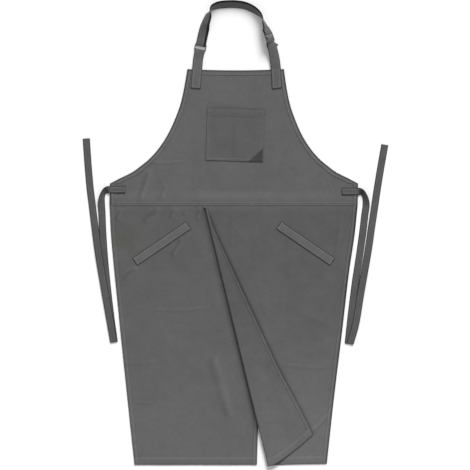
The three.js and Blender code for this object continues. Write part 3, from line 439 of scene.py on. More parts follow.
def right_columns(depth):
    """Places across the right leg at a depth: hem, flap, bend, body and outer hem."""
    outer, inner = float(outer_edge(1, depth)), float(inner_edge(1, depth))
    _, edge_out = from_line(inner, right_y(inner, depth, outer, inner), *FOLD_FROM, *FOLD_ALONG)
    fold_x = inner - edge_out / math.cos(FOLD_ANGLE)
    along, _ = from_line(fold_x, right_y(fold_x, depth, outer, inner), *FOLD_FROM, *FOLD_ALONG)
    _, cloth = fold_bend(along, max(-edge_out, 1))
    bend_half = float(cloth) / 2 / math.cos(FOLD_ANGLE)
    start, end = fold_x - bend_half, fold_x + bend_half
    hem = min(FLAP_HEM, 0.4 * (start - inner))
    edge = inner + EDGE_STEPS * hem / SIDE_HEM
    x = np.concatenate([
        edge,
        np.linspace(edge[-1], start, 26)[1:],
        np.linspace(start, end, 17)[1:],
        np.linspace(end, outer - EDGE_STEPS[-1] - 2, 92)[1:],
        outer - EDGE_STEPS[::-1],
    ])
    return x, right_y(x, depth, outer, inner), outer, inner, hem


def right_surface(x, y, outer, inner, hem, depth):
    """The rolled right leg: middle and normal of its cloth, thickness, shade, and reach past the bend."""
    height, shade = leg_cloth(x, outer, inner, depth, hem, smooth(depth / 60), (0.8, 4.2))
    point, normal, beyond = roll(x, y, np.maximum(height, CLOTH) / 2)
    wave = 0.45 * smooth(beyond / 30) * (1 + grid_noise(x, y, 55, 31))
    wave = wave + 0.25 * smooth(beyond / 20) * (1 + grid_noise(x, y, 17, 32))
    point[:, 2] += wave * smooth(depth / 90)
    return point, normal, height, shade, beyond


def right_leg():
    rows = []
    for depth in leg_depths():
        x, y, outer, inner, hem = right_columns(depth)
        point, normal, height, shade, beyond = right_surface(x, y, outer, inner, hem, depth)
        px, py, _ = point.T
        # Painted shadow on the right leg beside the flap's free edge, and painted light near the waist seam.
        beside = bells(px - free_edge_x(py), (0.34, 1.5, 3.2), (0.14, 0, 10)) * (beyond <= 0)
        beside = beside * smooth((depth - 6) / 30) * smooth((py - FREE_EDGE[0, 0]) / 6)
        shade = shade + shade_of_place(px, py) - 0.1 * smooth(beyond / 4) - beside
        shade = shade - 0.15 + 0.2 * smooth((-py - 250) / 450) + 0.11 * (1 - smooth(depth / 30))
        across = normal * height[:, None] / 2
        rows.append((point + across, point - across, np.stack([x, y], 1), 1 + shade))
    return sheet_of_rows("leg_right_cloth", rows)


def free_edge_table():
    """Where the flap's free edge lies: up and across, from the hem to the waist."""
    rows = []
    for depth in np.linspace(5, SKIRT_LENGTH, 60):
        x, y, *_ = right_columns(depth)
        point, _, _ = roll(x[:1], y[:1], np.array([CLOTH / 2]))
        rows.append((point[0, 1], point[0, 0]))
    return np.array(sorted(rows))


FREE_EDGE = free_edge_table()


def free_edge_x(y):
    return np.interp(y, FREE_EDGE[:, 0], FREE_EDGE[:, 1])


# The bib.
def bib_half(height):
    """Half the width of the bib at a height above the waist."""
    up = (np.asarray(height, float) - WAIST_EDGE_HEIGHT) / (BIB_LENGTH - WAIST_EDGE_HEIGHT)
    out = smooth_table(ARMHOLE, np.clip(up, 0, 1))
    return BIB_TOP_WIDTH / 2 + (WAIST_WIDTH - BIB_TOP_WIDTH) / 2 * out


def bib_middle(height):
    return BIB_LEAN * height / BIB_LENGTH


LIFT_LEFT = -OVERLAP / 2 - SEAM_MARGIN
LIFT_RIGHT = OVERLAP / 2 + LIFT_MARGIN + BIB_EASE


def bib_lift(x, height):
    """How far the bib is lifted by the legs sewn under its lower edge."""
    doubled = smooth((x - LIFT_LEFT + OVERLAP_RAMP) / OVERLAP_RAMP)
    doubled = doubled * (1 - smooth((x - LIFT_RIGHT) / (LIFT_RAMP + 2 * BIB_EASE)))
    stack = LEG_LIFT * (1 + doubled) + BIB_CLEAR
    return stack * (1 - smooth((height - SEAM_ALLOWANCE - SEAM_MARGIN) / SEAM_RAMP))


def bib_place(offset, height):
    """A place on the bib, from its distance to the middle and its height above the waist."""
    dip = BIB_TOP_DIP * (height / BIB_LENGTH) ** 3 * (1 - (offset / bib_half(height)) ** 2)
    return bib_middle(height) + offset, height - dip


def bib_stretch(height):
    """How much longer a line across the hem is along the row than square to the edge."""
    slope = (bib_half(height - 1) - bib_half(height + 1)) / 2
    return np.minimum(2.4, np.hypot(1, slope))


def bib_cloth(side, height):
    """Thickness and shade of the bib, from the distance to its side and the height above its lower edge."""
    height = np.full_like(side, height)
    top = BIB_LENGTH - height
    hems = (side, SIDE_HEM, ARM_STITCH), (top, BIB_TOP_HEM, TOP_STITCH)
    extra = np.maximum(*(hem_height(*hem) for hem in hems))
    turned = 0.5 * smooth((SEAM_ALLOWANCE - height) / 2) - 0.25 * bell(height - WAIST_STITCH, 0.8)
    thick = (CLOTH + np.maximum(extra, turned)) * (0.4 + 0.6 * smooth(height / 7))
    thick = thick * np.minimum.reduce([rounding(side), rounding(top), rounding(height)])
    # Painted shade along the side and top edges, painted light along the lower edge, and a little darker near
    # the waist.
    shade = sum(hem_shade(*hem, 0.85, 3.2) for hem in hems)
    shade = shade + bells(height, (0.34, 0, 2.0), (0.07, 3.5, 2.6)) - 0.05 * (1 - smooth(height / 60))
    return thick, shade


def bib_rows():
    """Heights of the bib's rows, closer at both hems and where the armhole's edge turns up."""
    low = np.array([0, 0.2, 0.6, 1.1, 2.2, 3.2, 4.2, 6, 8, 10, 12, 14])
    top = np.array([0, 0.2, 0.6, 1.1, 2.2, 4, 7, 9.5, 10.5, 11.4, 12.4, 13.2, 13.8, 14.3, 15, 17])
    steep = np.array([0, 0.5, 1, 1.6, 2.3, 3.1, 4, 5, 6.1, 7.3, 8.6, 10, 11.6, 13.4, 15.5])
    high, steep = BIB_LENGTH - top[::-1], WAIST_EDGE_HEIGHT + steep
    body = spread(17, high[0] - 3, 3.3)
    body = body[(body < steep[0] - 1) | (body > steep[-1] + 1)]
    return np.concatenate([low, np.sort(np.concatenate([body, steep])), high])


def bib():
    rows = []
    for height in bib_rows():
        half, stretch = bib_half(height), bib_stretch(height)
        edge = EDGE_STEPS * stretch - half
        body = np.linspace(edge[-1] + 3, -edge[-1] - 3, 176)
        offset = np.concatenate([edge, body, -edge[::-1]])
        x, y = bib_place(offset, height)
        side = (half - abs(offset)) / stretch
        thick, shade = bib_cloth(side, height)
        pucker = 0.35 * bell(side - 9, 6) * (1 + np.sin(y / 2.9 + 2 * grid_noise(x, y, 25, 41)))
        below_top = BIB_LENGTH - height - 9
        pucker = pucker + 0.3 * bell(below_top, 8) * (1 + np.sin(x / 3.3 + 2 * grid_noise(x, y, 25, 42)))
        pucker = pucker + 0.25 * bell(height - 12, 12) * (1 + np.sin(x / 4.1 + 3 * grid_noise(x, y, 40, 43)))
        low = bib_lift(x, height) + relief(x, y) + 0.5 * pucker
        shade = 1 + shade + shade_of_place(x, y) + pocket_contact_shadow(x, y)
        rows.append((*laid(x, y, low, thick), np.stack([x, y], 1), shade))
    return sheet_of_rows("bib_cloth", rows)


# The pocket, in its own turned frame.
POCKET_FROM = np.array([bib_middle(POCKET_HEIGHT), POCKET_HEIGHT])
POCKET_ALONG = np.array([math.cos(POCKET_TILT), math.sin(POCKET_TILT)])
POCKET_HALF = POCKET_WIDTH / 2
SLOT_LINE = POCKET_HALF - PEN_SLOT


def from_pocket(u, v):
    c, s = POCKET_ALONG
    return POCKET_FROM[0] + u * c - v * s, POCKET_FROM[1] + u * s + v * c


def pocket_contact_shadow(x, y):
    """Painted shadow on the bib close round the pocket."""
    u, v = from_line(x, y, *POCKET_FROM, *POCKET_ALONG)
    outside = np.maximum(abs(u) - POCKET_HALF, np.maximum(-v, v - POCKET_DEPTH))
    return -0.05 * bell(outside, 2.6) * (outside > -1)


def pocket_gape(u, v):
    """How far the pocket and its pen slot stand away from the bib."""
    half = POCKET_HALF - POCKET_SEAM
    main = smooth((half + u) / 34) * smooth((SLOT_LINE - 2 - u) / 34) * smooth((v - 6) / 60)
    pen = smooth((u - SLOT_LINE - 2) / 14) * smooth((half - u) / 14) * smooth((v - 45) / 50)
    return POCKET_BULGE * main + PEN_BULGE * pen


def pocket_surface(u, v):
    """Lower face, thickness and shade of the pocket at a place in its own frame."""
    side, top = POCKET_HALF - abs(u), POCKET_DEPTH - v
    x, y = from_pocket(u, v)
    thick = CLOTH + 0.6 * smooth((POCKET_TURNED - np.minimum(side, v)) / 1.2)
    thick = thick + 0.5 * smooth((POCKET_HEM - top) / 1.2) - 0.25 * bell(top - POCKET_HEM_STITCH, 0.9)
    for seam in POCKET_STITCHES:
        thick = thick - 0.2 * bell(side - seam, 0.7) - 0.2 * bell(v - seam, 0.7)
    thick = thick - 0.3 * bell(u - SLOT_LINE, 1.0)
    thick = thick * np.minimum.reduce([rounding(side), rounding(top), rounding(v)])
    crease = 0.5 * bell(u + 2.5, 4) * smooth(v / 30) * smooth(top / 20)
    waves = 0.25 * (1 + np.sin(v / 4.0 + 3 * grid_noise(u, v, 22, 51)))
    waves = waves * bell(u - SLOT_LINE, 7) * smooth(top / 8)
    low = POCKET_CLEAR + relief(x, y) + pocket_gape(u, v) + crease + waves
    low = low + 0.2 * (1 + grid_noise(u, v, 24, 52))
    near, far = POCKET_STITCHES
    # Painted shade at the pocket's edges, under its top edge and along its middle crease, and lighter lines
    # along the stitching.
    shade = 0.97 + bells(side, (-0.14, 0, 1.5), (0.06, near, 1.4), (0.04, far, 1.4))
    shade = shade + bells(v, (-0.05, 0, 1.5), (0.05, near, 1.4))
    shade = shade + bells(top, (-0.34, 0, 2.4), (0.05, 6, 2.5), (-0.05, 16, 2.0), (-0.05, POCKET_HEM, 2.2))
    shade = shade + bells(u - SLOT_LINE, (-0.09, 0, 2.0), (0.04, 3.2, 1.6))
    shade = shade - 0.05 * bell(u + 2.5, 5) * smooth(top / 25) + 0.02 * grid_noise(x, y, 45, 53)
    return low, thick, shade


def pocket():
    near = np.array([0, 0.2, 0.6, 1.1, 2.2, 3.4, 5, 6.6, 7.6, 8.4, 9.2, 11])
    hem = np.array([0, 0.2, 0.6, 1.1, 2.2, 4, 7, 10, 13, 16, 18.5, 20.5, 21.5, 22.5, 23.4, 24, 24.6, 26])
    high = POCKET_DEPTH - hem[::-1]
    u = np.concatenate([
        near - POCKET_HALF, np.linspace(13 - POCKET_HALF, SLOT_LINE - 4, 38),
        SLOT_LINE + np.array([-2.4, -1.2, 0, 1.2, 2.4]),
        np.linspace(SLOT_LINE + 4, POCKET_HALF - 13, 12), POCKET_HALF - near[::-1],
    ])
    v = np.concatenate([near, np.linspace(13, high[0] - 2.5, 44), high])
    u, v = np.meshgrid(u, v)
    low, thick, shade = pocket_surface(u, v)
    return sheet_piece("bib_pocket_cloth", *laid(*from_pocket(u, v), low, thick), np.stack([u, v], -1), shade)


def corner_patch():
    """The plain triangle: a grid whose rows shorten towards the point."""
    corner, climb = POCKET_HALF - PATCH_EDGE, PATCH_SIDE - PATCH_TIP
    near = np.array([0, 0.3, 0.9, 2.0])
    places = np.concatenate([near, np.linspace(4, PATCH_SIDE - 4, 13), PATCH_SIDE - near[::-1]]) / PATCH_SIDE
    r, c = np.meshgrid(places, places, indexing="ij")
    width = np.maximum(PATCH_SIDE * (1 - r), PATCH_TIP)
    u, v = corner - width * (1 - c), PATCH_EDGE + r * climb
    low, thick, _ = pocket_surface(u, v)
    rim = np.minimum.reduce([
        corner - u, v - PATCH_EDGE + 0.01, (u - (corner - width)) * math.sqrt(0.5), climb - (v - PATCH_EDGE),
    ])
    half = PATCH_THICKNESS / 2 * rounding(np.clip(rim, 0, 5))
    x, y = from_pocket(u, v)
    middle = low + thick + 0.15 + PATCH_THICKNESS / 2
    # Painted shade at the patch's edge and a lighter line just inside it.
    shade = 1 + bells(rim, (0.18, 1.8, 0.8), (-0.1, 0, 1.0)) + 0.03 * grid_noise(u, v, 6, 61)
    faces = np.stack([x, y, middle + half], -1), np.stack([x, y, middle - half], -1)
    return sheet_piece("pocket_corner_patch", *faces, np.stack([u, v], -1), shade)


def welt_surface(leg, u, v):
    """A place on a welt, and its lower face, thickness and shade there."""
    c, s = math.cos(WELT_ANGLE), math.sin(WELT_ANGLE)
    x, y = leg * (WELT_OUT + u * c + v * s), -WELT_DOWN - u * s + v * c
    leg_top = relief(x, y) + CLOTH + (right_lift(x, -y) if leg > 0 else 0)
    ends, sides = WELT_LENGTH / 2 - abs(u), WELT_WIDTH / 2 - abs(v)
    rim = np.minimum(ends, sides)
    thick = CLOTH + 0.5 - 0.28 * bell(ends - 3.5, 0.9) - 0.22 * bell(sides - WELT_STITCH, 0.8)
    waves = 0.2 * (1 + np.sin(u / 3.6 + 3 * grid_noise(u, v, 18, 71 + leg))) * bell(v + 3, 10)
    # Painted shade round the welt's rim and lighter lines along its stitching.
    shade = 1 - 0.75 * bell(rim, 2.2) + 0.26 * (bell(sides - 4.2, 1.3) + bell(ends - 4.4, 1.3))
    shade = shade + 0.015 * grid_noise(u, v, 16, 74)
    return x, y, leg_top + 0.25 + waves, thick * rounding(rim), shade


def welt(leg, name):
    near = np.array([0, 0.2, 0.6, 1.1, 2.0, 3.0, 4.0, 5.5])
    u = np.concatenate([near - WELT_LENGTH / 2, np.linspace(-84, 84, 66), WELT_LENGTH / 2 - near[::-1]])
    v = np.concatenate([near - WELT_WIDTH / 2, np.linspace(-6, 6, 6), WELT_WIDTH / 2 - near[::-1]])
    u, v = np.meshgrid(u, v)
    x, y, low, thick, shade = welt_surface(leg, u, v)
    return sheet_piece(name, *laid(x, y, low, thick), np.stack([u, v], -1), shade)


# Straps.
def unit(vector):
    return vector / np.maximum(np.linalg.norm(vector, axis=-1, keepdims=True), 1e-9)


def picked(places, run, values):
    """Rows of values at places along a line, given at the line's own distances."""
    return np.stack([np.interp(places, run, values[:, k]) for k in range(3)], 1)


class Route:
    """A centripetal curve through points on the ground."""

    def __init__(self, points):
        points = np.array(points, float)
        self.points = np.concatenate([[2 * points[0] - points[1]], points, [2 * points[-1] - points[-2]]])
        self.count = len(points)

    def at(self, place):
        k = min(self.count - 2, max(0, int(math.floor(place))))
        t = place - k
        p = self.points[k:k + 4]
        d = [math.sqrt(np.linalg.norm(p[i + 1] - p[i])) for i in range(3)]
        m1 = ((p[1] - p[0]) / d[0] - (p[2] - p[0]) / (d[0] + d[1]) + (p[2] - p[1]) / d[1]) * d[1]
        m2 = ((p[2] - p[1]) / d[1] - (p[3] - p[1]) / (d[1] + d[2]) + (p[3] - p[2]) / d[2]) * d[1]
        a = -3 * p[1] + 3 * p[2] - 2 * m1 - m2
        b = 2 * p[1] - 2 * p[2] + m1 + m2
        return p[1] + m1 * t + a * t * t + b * t ** 3

    def heading(self, place):
        step = 0.002
        return unit(self.at(min(place + step, self.count - 1)) - self.at(max(place - step, 0)))


def strap_route(stations, width, thickness, samples):
    """Stations are (x, y, tilt in degrees, layers). Gives (point, side, along, place) for each sample."""
    xs, ys, tilts, layers = zip(*stations)
    route, numbers = Route(list(zip(xs, ys))), range(len(stations))
    found = []
    for place in np.linspace(0, numbers[-1], numbers[-1] * samples + 1):
        tilt = math.radians(float(np.interp(place, numbers, tilts)))
        layer = float(np.interp(place, numbers, layers))
        along = route.heading(place)
        side = np.array([along[1] * math.cos(tilt), -along[0] * math.cos(tilt), math.sin(tilt)])
        x, y = route.at(place)
        lift = thickness / 2 + layer * (thickness + GAP)
        z = width / 2 * abs(math.sin(tilt)) + lift * abs(math.cos(tilt))
        found.append((np.array([x, y, z]), side, np.array([along[0], along[1], 0.0]), place))
    return found


def bar_turn(edge, away, side, bar_width, bar_thickness, tail):
    """Stations of a strap that comes from below, turns round a bar and closes over itself."""
    radius = bar_thickness / 2 + GAP + STRAP / 2
    up = unit(np.cross(side, away))
    if up[2] < 0:
        up = -up
    at = lambda a, o: (edge + away * a + up * o, side)
    closed = STRAP + GAP - radius
    turn = [at(tail, -radius), at(tail * 0.75, -radius), at(tail / 2, -radius), at(bar_width, -radius)]
    for angle in np.radians(np.linspace(-90, -270, 13)):
        turn.append(at(radius * math.cos(angle), radius * math.sin(angle)))
    for share in np.linspace(0, 1, 9):
        height = radius + (closed - radius) * float(smooth(share))
        turn.append(at(bar_width + (tail - bar_width) * share, height))
    return turn


def strap_piece(
    node, stations, width, seed, thickness=STRAP, sewn=(0, 0), raised=(0, 0), dark=(0, 0), tone=1.0
):
    """A folded cloth strap: rounded edges, two lines of stitching and slight waves along it.

    Sewn is the length stitched down at each end, raised is the part that stands on its edge, from and to,
    where painted shade lies on its raised edge beside a painted light line and painted light over its arc,
    and dark is the middle and half width of a patch of painted shade where a tie twists.
    """
    points, sides = (np.array(values) for values in zip(*stations))
    gaps = np.linalg.norm(np.diff(points, axis=0), axis=1)
    keep = np.concatenate([[True], gaps > 0.05])
    points, sides, gaps = points[keep], sides[keep], gaps[gaps > 0.05]
    length = np.concatenate([[0], np.cumsum(gaps)])
    fine = [length[0]]
    for a, b in zip(length[:-1], length[1:]):
        fine.extend(np.linspace(a, b, max(1, int(math.ceil((b - a) / STRAP_STEP))) + 1)[1:])
    fine = np.array(fine)
    centre, side = picked(fine, length, points), picked(fine, length, sides)
    for _ in range(2):
        inner = (centre[:-2] + 2 * centre[1:-1] + centre[2:]) / 4
        far = np.linalg.norm(inner - centre[1:-1], axis=1)[:, None]
        centre[1:-1] = np.where(far < 0.25, inner, centre[1:-1])
        side[1:-1] = (side[:-2] + 2 * side[1:-1] + side[2:]) / 4
    side = unit(side)
    up = unit(np.cross(side, unit(np.gradient(centre, axis=0))))
    half, total = width / 2, float(fine[-1])
    edge = np.array([0, 0.15, 0.5, 1.0, 1.8, 2.6, 3.4, 4.6])
    across = np.concatenate([edge - half, np.linspace(6.5 - half, half - 6.5, 6), half - edge[::-1]])
    s, a = np.meshgrid(fine, across, indexing="ij")
    rim = half - abs(a)
    thick = thickness * (0.86 + 0.14 * smooth(rim / 4)) - 0.22 * bell(rim - STRAP_STITCH, 0.7)
    thick = thick * rounding(rim * 1.3)
    lift = (0.12 * grid_noise(s, a, 9, seed) + 0.1 * grid_noise(s, a, 21, seed + 1)) * smooth(rim / 3)
    base = centre[:, None, :] + side[:, None, :] * a[..., None]
    top = base + up[:, None, :] * (thick / 2 + lift)[..., None]
    bottom = base + up[:, None, :] * (np.minimum(lift, 0) - thick / 2)[..., None]
    # Painted shade along the strap's edges and at its ends, and lighter lines along the stitching and across
    # the sewn ends.
    shade = bells(rim, (-0.7, 0, 2.5), (0.2, STRAP_STITCH + 2, 1.3))
    shade = shade - 0.38 * (bell(s, 1.5) + bell(total - s, 1.5))
    for place, patch in ((s, sewn[0]), (total - s, sewn[1])):
        if patch:
            shade = shade + 0.3 * (bell(place - 4, 1.2) + bell(place - patch + 2, 1.2)) * (rim > 3)
            shade = shade + 0.26 * bell(rim - 4, 1.2) * (place < patch) * (place > 4)
    # Along the raised part: painted shade on the raised edge, a painted light line beside it, and painted
    # light over the arc.
    if raised[1]:
        there = smooth((s - raised[0]) / 25) * smooth((raised[1] - s) / 15)
        arc = there * smooth((s - raised[0] - 75) / 30) * smooth((raised[1] - 20 - s) / 25)
        shade = shade + there * (0.3 * bell(half - a - 9, 1.9) - smooth((8.2 - half + a) / 2.8)) + 0.22 * arc
    # Painted shade where a tie twists.
    if dark[1]:
        shade = shade - 0.6 * bell(s - dark[0], dark[1])
    shade = tone + shade + 0.05 * grid_noise(s, a, 40, seed + 2) + 0.05 * grid_noise(s, a, 9, seed + 3)
    piece = sheet_piece(node + "_cloth", top, bottom, np.stack([a, s], -1), shade)
    dress(piece, STRAP_CLOTH, "strap_cloth", node)
    for line in (STRAP_STITCH - half, half - STRAP_STITCH):
        k = int(np.argmin(abs(across - line)))
        for face, sign in ((top, 1), (bottom, -1)):
            strap_thread.line(face[:, k], up * sign, pitch=3.2, length=2.3, width=0.7, height=0.4)
    return piece, total


# Stitches: small spindles of thread that lie along a line on the cloth.
class Thread:
    def __init__(self, name):
        self.name, self.vertices, self.faces = name, [], []

    def line(self, points, normals, pitch=3.4, length=2.5, width=0.8, height=0.5):
        points, normals = np.asarray(points, float), np.asarray(normals, float)
        run = np.concatenate([[0], np.cumsum(np.linalg.norm(np.diff(points, axis=0), axis=1))])
        count = int(run[-1] / pitch)
        if count < 1:
            return
        middle = (np.arange(count) + 0.5) * run[-1] / count
        start, end = picked(middle - length / 2, run, points), picked(middle + length / 2, run, points)
        centre, normal = picked(middle, run, points), picked(middle, run, normals)
        side = unit(np.cross(normal, unit(end - start)))
        ring = [
            start - normal * 0.08, centre + side * width / 2, centre + normal * height,
            centre - side * width / 2, centre - normal * height * 0.4, end - normal * 0.08,
        ]
        offset = len(self.vertices)
        self.vertices.extend(np.stack(ring, 1).reshape(-1, 3).tolist())
        for k in range(count):
            o = offset + 6 * k
            for a, b in ((1, 2), (2, 3), (3, 4), (4, 1)):
                self.faces.append((o, o + b, o + a))
                self.faces.append((o + 5, o + a, o + b))

    def on_top(self, x, y, z, **stitch):
        """Stitches along a line on the upper side of cloth that lies flat."""
        points = np.stack(np.broadcast_arrays(x, y, z), 1)
        self.line(points, np.tile([0.0, 0.0, 1.0], (len(points), 1)), **stitch)

    def piece(self):
        uv = np.array(self.vertices)[:, :2]
        return mesh_piece(self.name, self.vertices, self.faces, uv, np.ones(len(uv)))


def left_thread():
    thread = Thread("leg_left_thread")
    depth = np.arange(2, SKIRT_LENGTH - 2, 4.0)
    hem_y = LEG_STITCH - SKIRT_LENGTH
    hem_x = np.arange(float(outer_edge(-1, -hem_y)) + 2, float(inner_edge(-1, -hem_y)) - 2, 4.0)
    outer_x, inner_x = outer_edge(-1, depth) + SIDE_STITCH, inner_edge(-1, depth) - SIDE_STITCH
    for x, y in ((outer_x, -depth), (inner_x, -depth), (hem_x, hem_y)):
        thread.on_top(x, y, relief(x, y) + CLOTH + HEM_EXTRA - 0.2)
    return thread


def right_thread():
    thread = Thread("leg_right_thread")
    inner_line, outer_line = [], []
    for depth in np.arange(2, SKIRT_LENGTH - 2, 4.0):
        columns, rows, outer, inner, hem = right_columns(depth)
        x = np.array([inner + SIDE_STITCH * hem / SIDE_HEM, outer - SIDE_STITCH])
        point, normal, height, *_ = right_surface(x, np.interp(x, columns, rows), outer, inner, hem, depth)
        if depth > 40:
            inner_line.append((point[0] - normal[0] * height[0] / 2, -normal[0]))
        outer_line.append((point[1] + normal[1] * height[1] / 2, normal[1]))
    for line in (inner_line, outer_line):
        thread.line(*zip(*line))
    depth = SKIRT_LENGTH - LEG_STITCH
    _, _, outer, inner, hem = right_columns(depth)
    x = np.arange(inner + 3, outer - 3, 3.5)
    y = right_y(x, depth, outer, inner)
    point, normal, height, _, beyond = right_surface(x, y, outer, inner, hem, depth)
    for part, face in ((beyond > 1, -normal), (beyond <= 0, normal)):
        thread.line((point + face * height[:, None] / 2)[part], face[part])
    return thread


def bib_thread():
    thread = Thread("bib_thread")
    lines = []
    low = np.arange(3, WAIST_EDGE_HEIGHT - 2, 4.0)
    high = np.arange(WAIST_EDGE_HEIGHT + 6, BIB_LENGTH - 3, 4.0)
    for side in (-1, 1):
        lines.append((side * (bib_half(high) - ARM_STITCH * bib_stretch(high)), high))
        lines.append((side * (bib_half(low) - ARM_STITCH), low))
    across = np.arange(-BIB_TOP_WIDTH / 2 + 4, BIB_TOP_WIDTH / 2 - 3, 4.0)
    lines.append((across, np.full_like(across, BIB_LENGTH - TOP_STITCH)))
    across = np.arange(-WAIST_WIDTH / 2 + 2, WAIST_WIDTH / 2 - 2, 4.0)
    lines += [(across, np.full_like(across, height)) for height in (WAIST_STITCH, WAIST_STITCH + 5)]
    for offset, height in lines:
        x, y = bib_place(offset, height)
        thick, _ = bib_cloth((bib_half(height) - abs(offset)) / bib_stretch(height), height)
        thread.on_top(x, y, bib_lift(x, height) + relief(x, y) + thick + 0.15)
    return thread


def pocket_thread():
    thread = Thread("bib_pocket_thread")
    v = np.arange(2.2, POCKET_DEPTH - 1, 3.0)
    lines = []
    for inset in POCKET_STITCHES:
        side, u = POCKET_HALF - inset, np.arange(inset - POCKET_HALF, POCKET_HALF - inset, 3.0)
        lines += [(np.full_like(v, -side), v), (np.full_like(v, side), v), (u, np.full_like(u, inset))]
    lines.append((np.full_like(v, SLOT_LINE), v))
    u = np.arange(2 - POCKET_HALF, POCKET_HALF - 2, 3.0)
    lines.append((u, np.full_like(u, POCKET_DEPTH - POCKET_HEM_STITCH)))
    for u, v in lines:
        low, thick, _ = pocket_surface(u, v)
        thread.on_top(*from_pocket(u, v), low + thick + 0.05)
    return thread


def welt_thread(leg, name):
    thread = Thread(name)
    u = np.arange(-WELT_LENGTH / 2 + 3, WELT_LENGTH / 2 - 2.9, 3.0)
    v = np.arange(-WELT_WIDTH / 2 + 3, WELT_WIDTH / 2 - 2.9, 2.5)
    lines = [(u, np.full_like(u, side * (WELT_WIDTH / 2 - WELT_STITCH))) for side in (-1, 1)]
    for end in (-1, 1):
        lines += [(np.full_like(v, end * (WELT_LENGTH / 2 - inset)), v) for inset in (3.5, 6.0)]
    for u, v in lines:
        x, y, low, thick, _ = welt_surface(leg, u, v)
        thread.on_top(x, y, low + thick + 0.05, pitch=3.2)
    return thread


# Ring and buckle: flat frames with rounded edges.
def frame_piece(name, bar, window, windows, thickness, centre, side, along, bevel):
    """A frame with one or more windows in a row, wide enough for the strap."""
    inner = STRAP_WIDTH / 2 + SIDE_CLEARANCE
    outer = inner + bar
    length = windows * window + (windows + 1) * bar
    xs = [-outer, -inner, inner, outer]
    ys = [-length / 2]
    for k in range(windows + 1):
        ys.append(ys[-1] + bar)
        if k < windows:
            ys.append(ys[-1] + window)
    used = lambda i, j: i != 1 or j % 2 == 0
    vertices, faces, index = [], [], {}
    up = unit(np.cross(side, along))

    def at(i, j, level):
        key = (i, j, level)
        if key not in index:
            index[key] = len(vertices)
            x, y = xs[i], ys[j]
            if i in (0, 3) and j in (0, len(ys) - 1):
                x -= math.copysign(bar * 0.25, x)
                y -= math.copysign(bar * 0.25, y)
            vertices.append((centre + side * x + along * y + up * (level - 0.5) * thickness) / 1000)
        return index[key]

    for i in range(3):
        for j in range(len(ys) - 1):
            if not used(i, j):
                continue
            ring = [(i, j), (i + 1, j), (i + 1, j + 1), (i, j + 1)]
            faces.append([at(a, b, 1) for a, b in ring])
            faces.append([at(a, b, 0) for a, b in ring[::-1]])
            for (a, b), (di, dj) in zip(zip(ring, ring[1:] + ring[:1]), ((0, -1), (1, 0), (0, 1), (-1, 0))):
                p, q = i + di, j + dj
                if not (0 <= p < 3 and 0 <= q < len(ys) - 1 and used(p, q)):
                    faces.append([at(*a, 1), at(*a, 0), at(*b, 0), at(*b, 1)])
    mesh = bpy.data.meshes.new(name)
    mesh.from_pydata([tuple(v) for v in vertices], [], faces)
    piece = link_object(name, mesh)
    rounded = piece.modifiers.new("rounded", "BEVEL")
    rounded.width, rounded.segments, rounded.limit_method = bevel / 1000, 3, "ANGLE"
    bpy.context.view_layer.objects.active = piece
    piece.select_set(True)
    bpy.ops.object.modifier_apply(modifier="rounded")
    piece.select_set(False)
    piece.data.polygons.foreach_set("use_smooth", [True] * len(piece.data.polygons))
    return piece


# Materials.
class Nodes:
    """A material and its nodes. Inputs take plain values or other nodes' outputs."""

    def __init__(self, name):
        self.material = bpy.data.materials.new(name)
        self.material.use_nodes = True
        self.tree = self.material.node_tree

    def feed(self, socket, value):
        if isinstance(value, bpy.types.NodeSocket):
            self.tree.links.new(value, socket)
        else:
            socket.default_value = value

    def add(self, kind, **values):
        node = self.tree.nodes.new(kind)
        for key, value in values.items():
            if key in node.inputs:
                self.feed(node.inputs[key], value)
            else:
                setattr(node, key, value)
        return node

    def math(self, operation, a, b):
        node = self.add("ShaderNodeMath", operation=operation)
        self.feed(node.inputs[0], a)
        self.feed(node.inputs[1], b)
        return node.outputs[0]

    def scaled(self, value, middle, factor):
        """The distance of a value from a middle, times a factor."""
        return self.math("MULTIPLY", self.math("SUBTRACT", value, middle), factor)

    def mix(self, kind, factor, a, b):
        """A blend of two vectors or colours, whose inputs and outputs come after those of plain numbers."""
        node = self.add("ShaderNodeMix", data_type=kind, clamp_factor=True)
        first, output = (4, 1) if kind == "VECTOR" else (6, 2)
        for socket, value in ((0, factor), (first, a), (first + 1, b)):
            self.feed(node.inputs[socket], value)
        return node.outputs[output]

    def noise(self, vector, scale, detail, stretch=None):
        if stretch:
            vector = self.add("ShaderNodeMapping", Scale=stretch, Vector=vector).outputs[0]
        return self.add("ShaderNodeTexNoise", Scale=scale, Detail=detail, Vector=vector).outputs["Fac"]

    def painted(self, name):
        return self.add("ShaderNodeAttribute", attribute_name=name).outputs["Fac"]

    def tinted(self, colour, factor):
        return self.add("ShaderNodeVectorMath", operation="SCALE", Vector=colour, Scale=factor).outputs[0]

    def bump(self, height, strength, distance):
        return self.add("ShaderNodeBump", Strength=strength, Distance=distance, Height=height).outputs[0]

    def surface(self, **values):
        """Sets the surface's inputs, named with underscores for spaces, and gives the material."""
        shader = self.tree.nodes["Principled BSDF"]
        for key, value in values.items():
            self.feed(shader.inputs[key.replace("_", " ")], value)
        return self.material


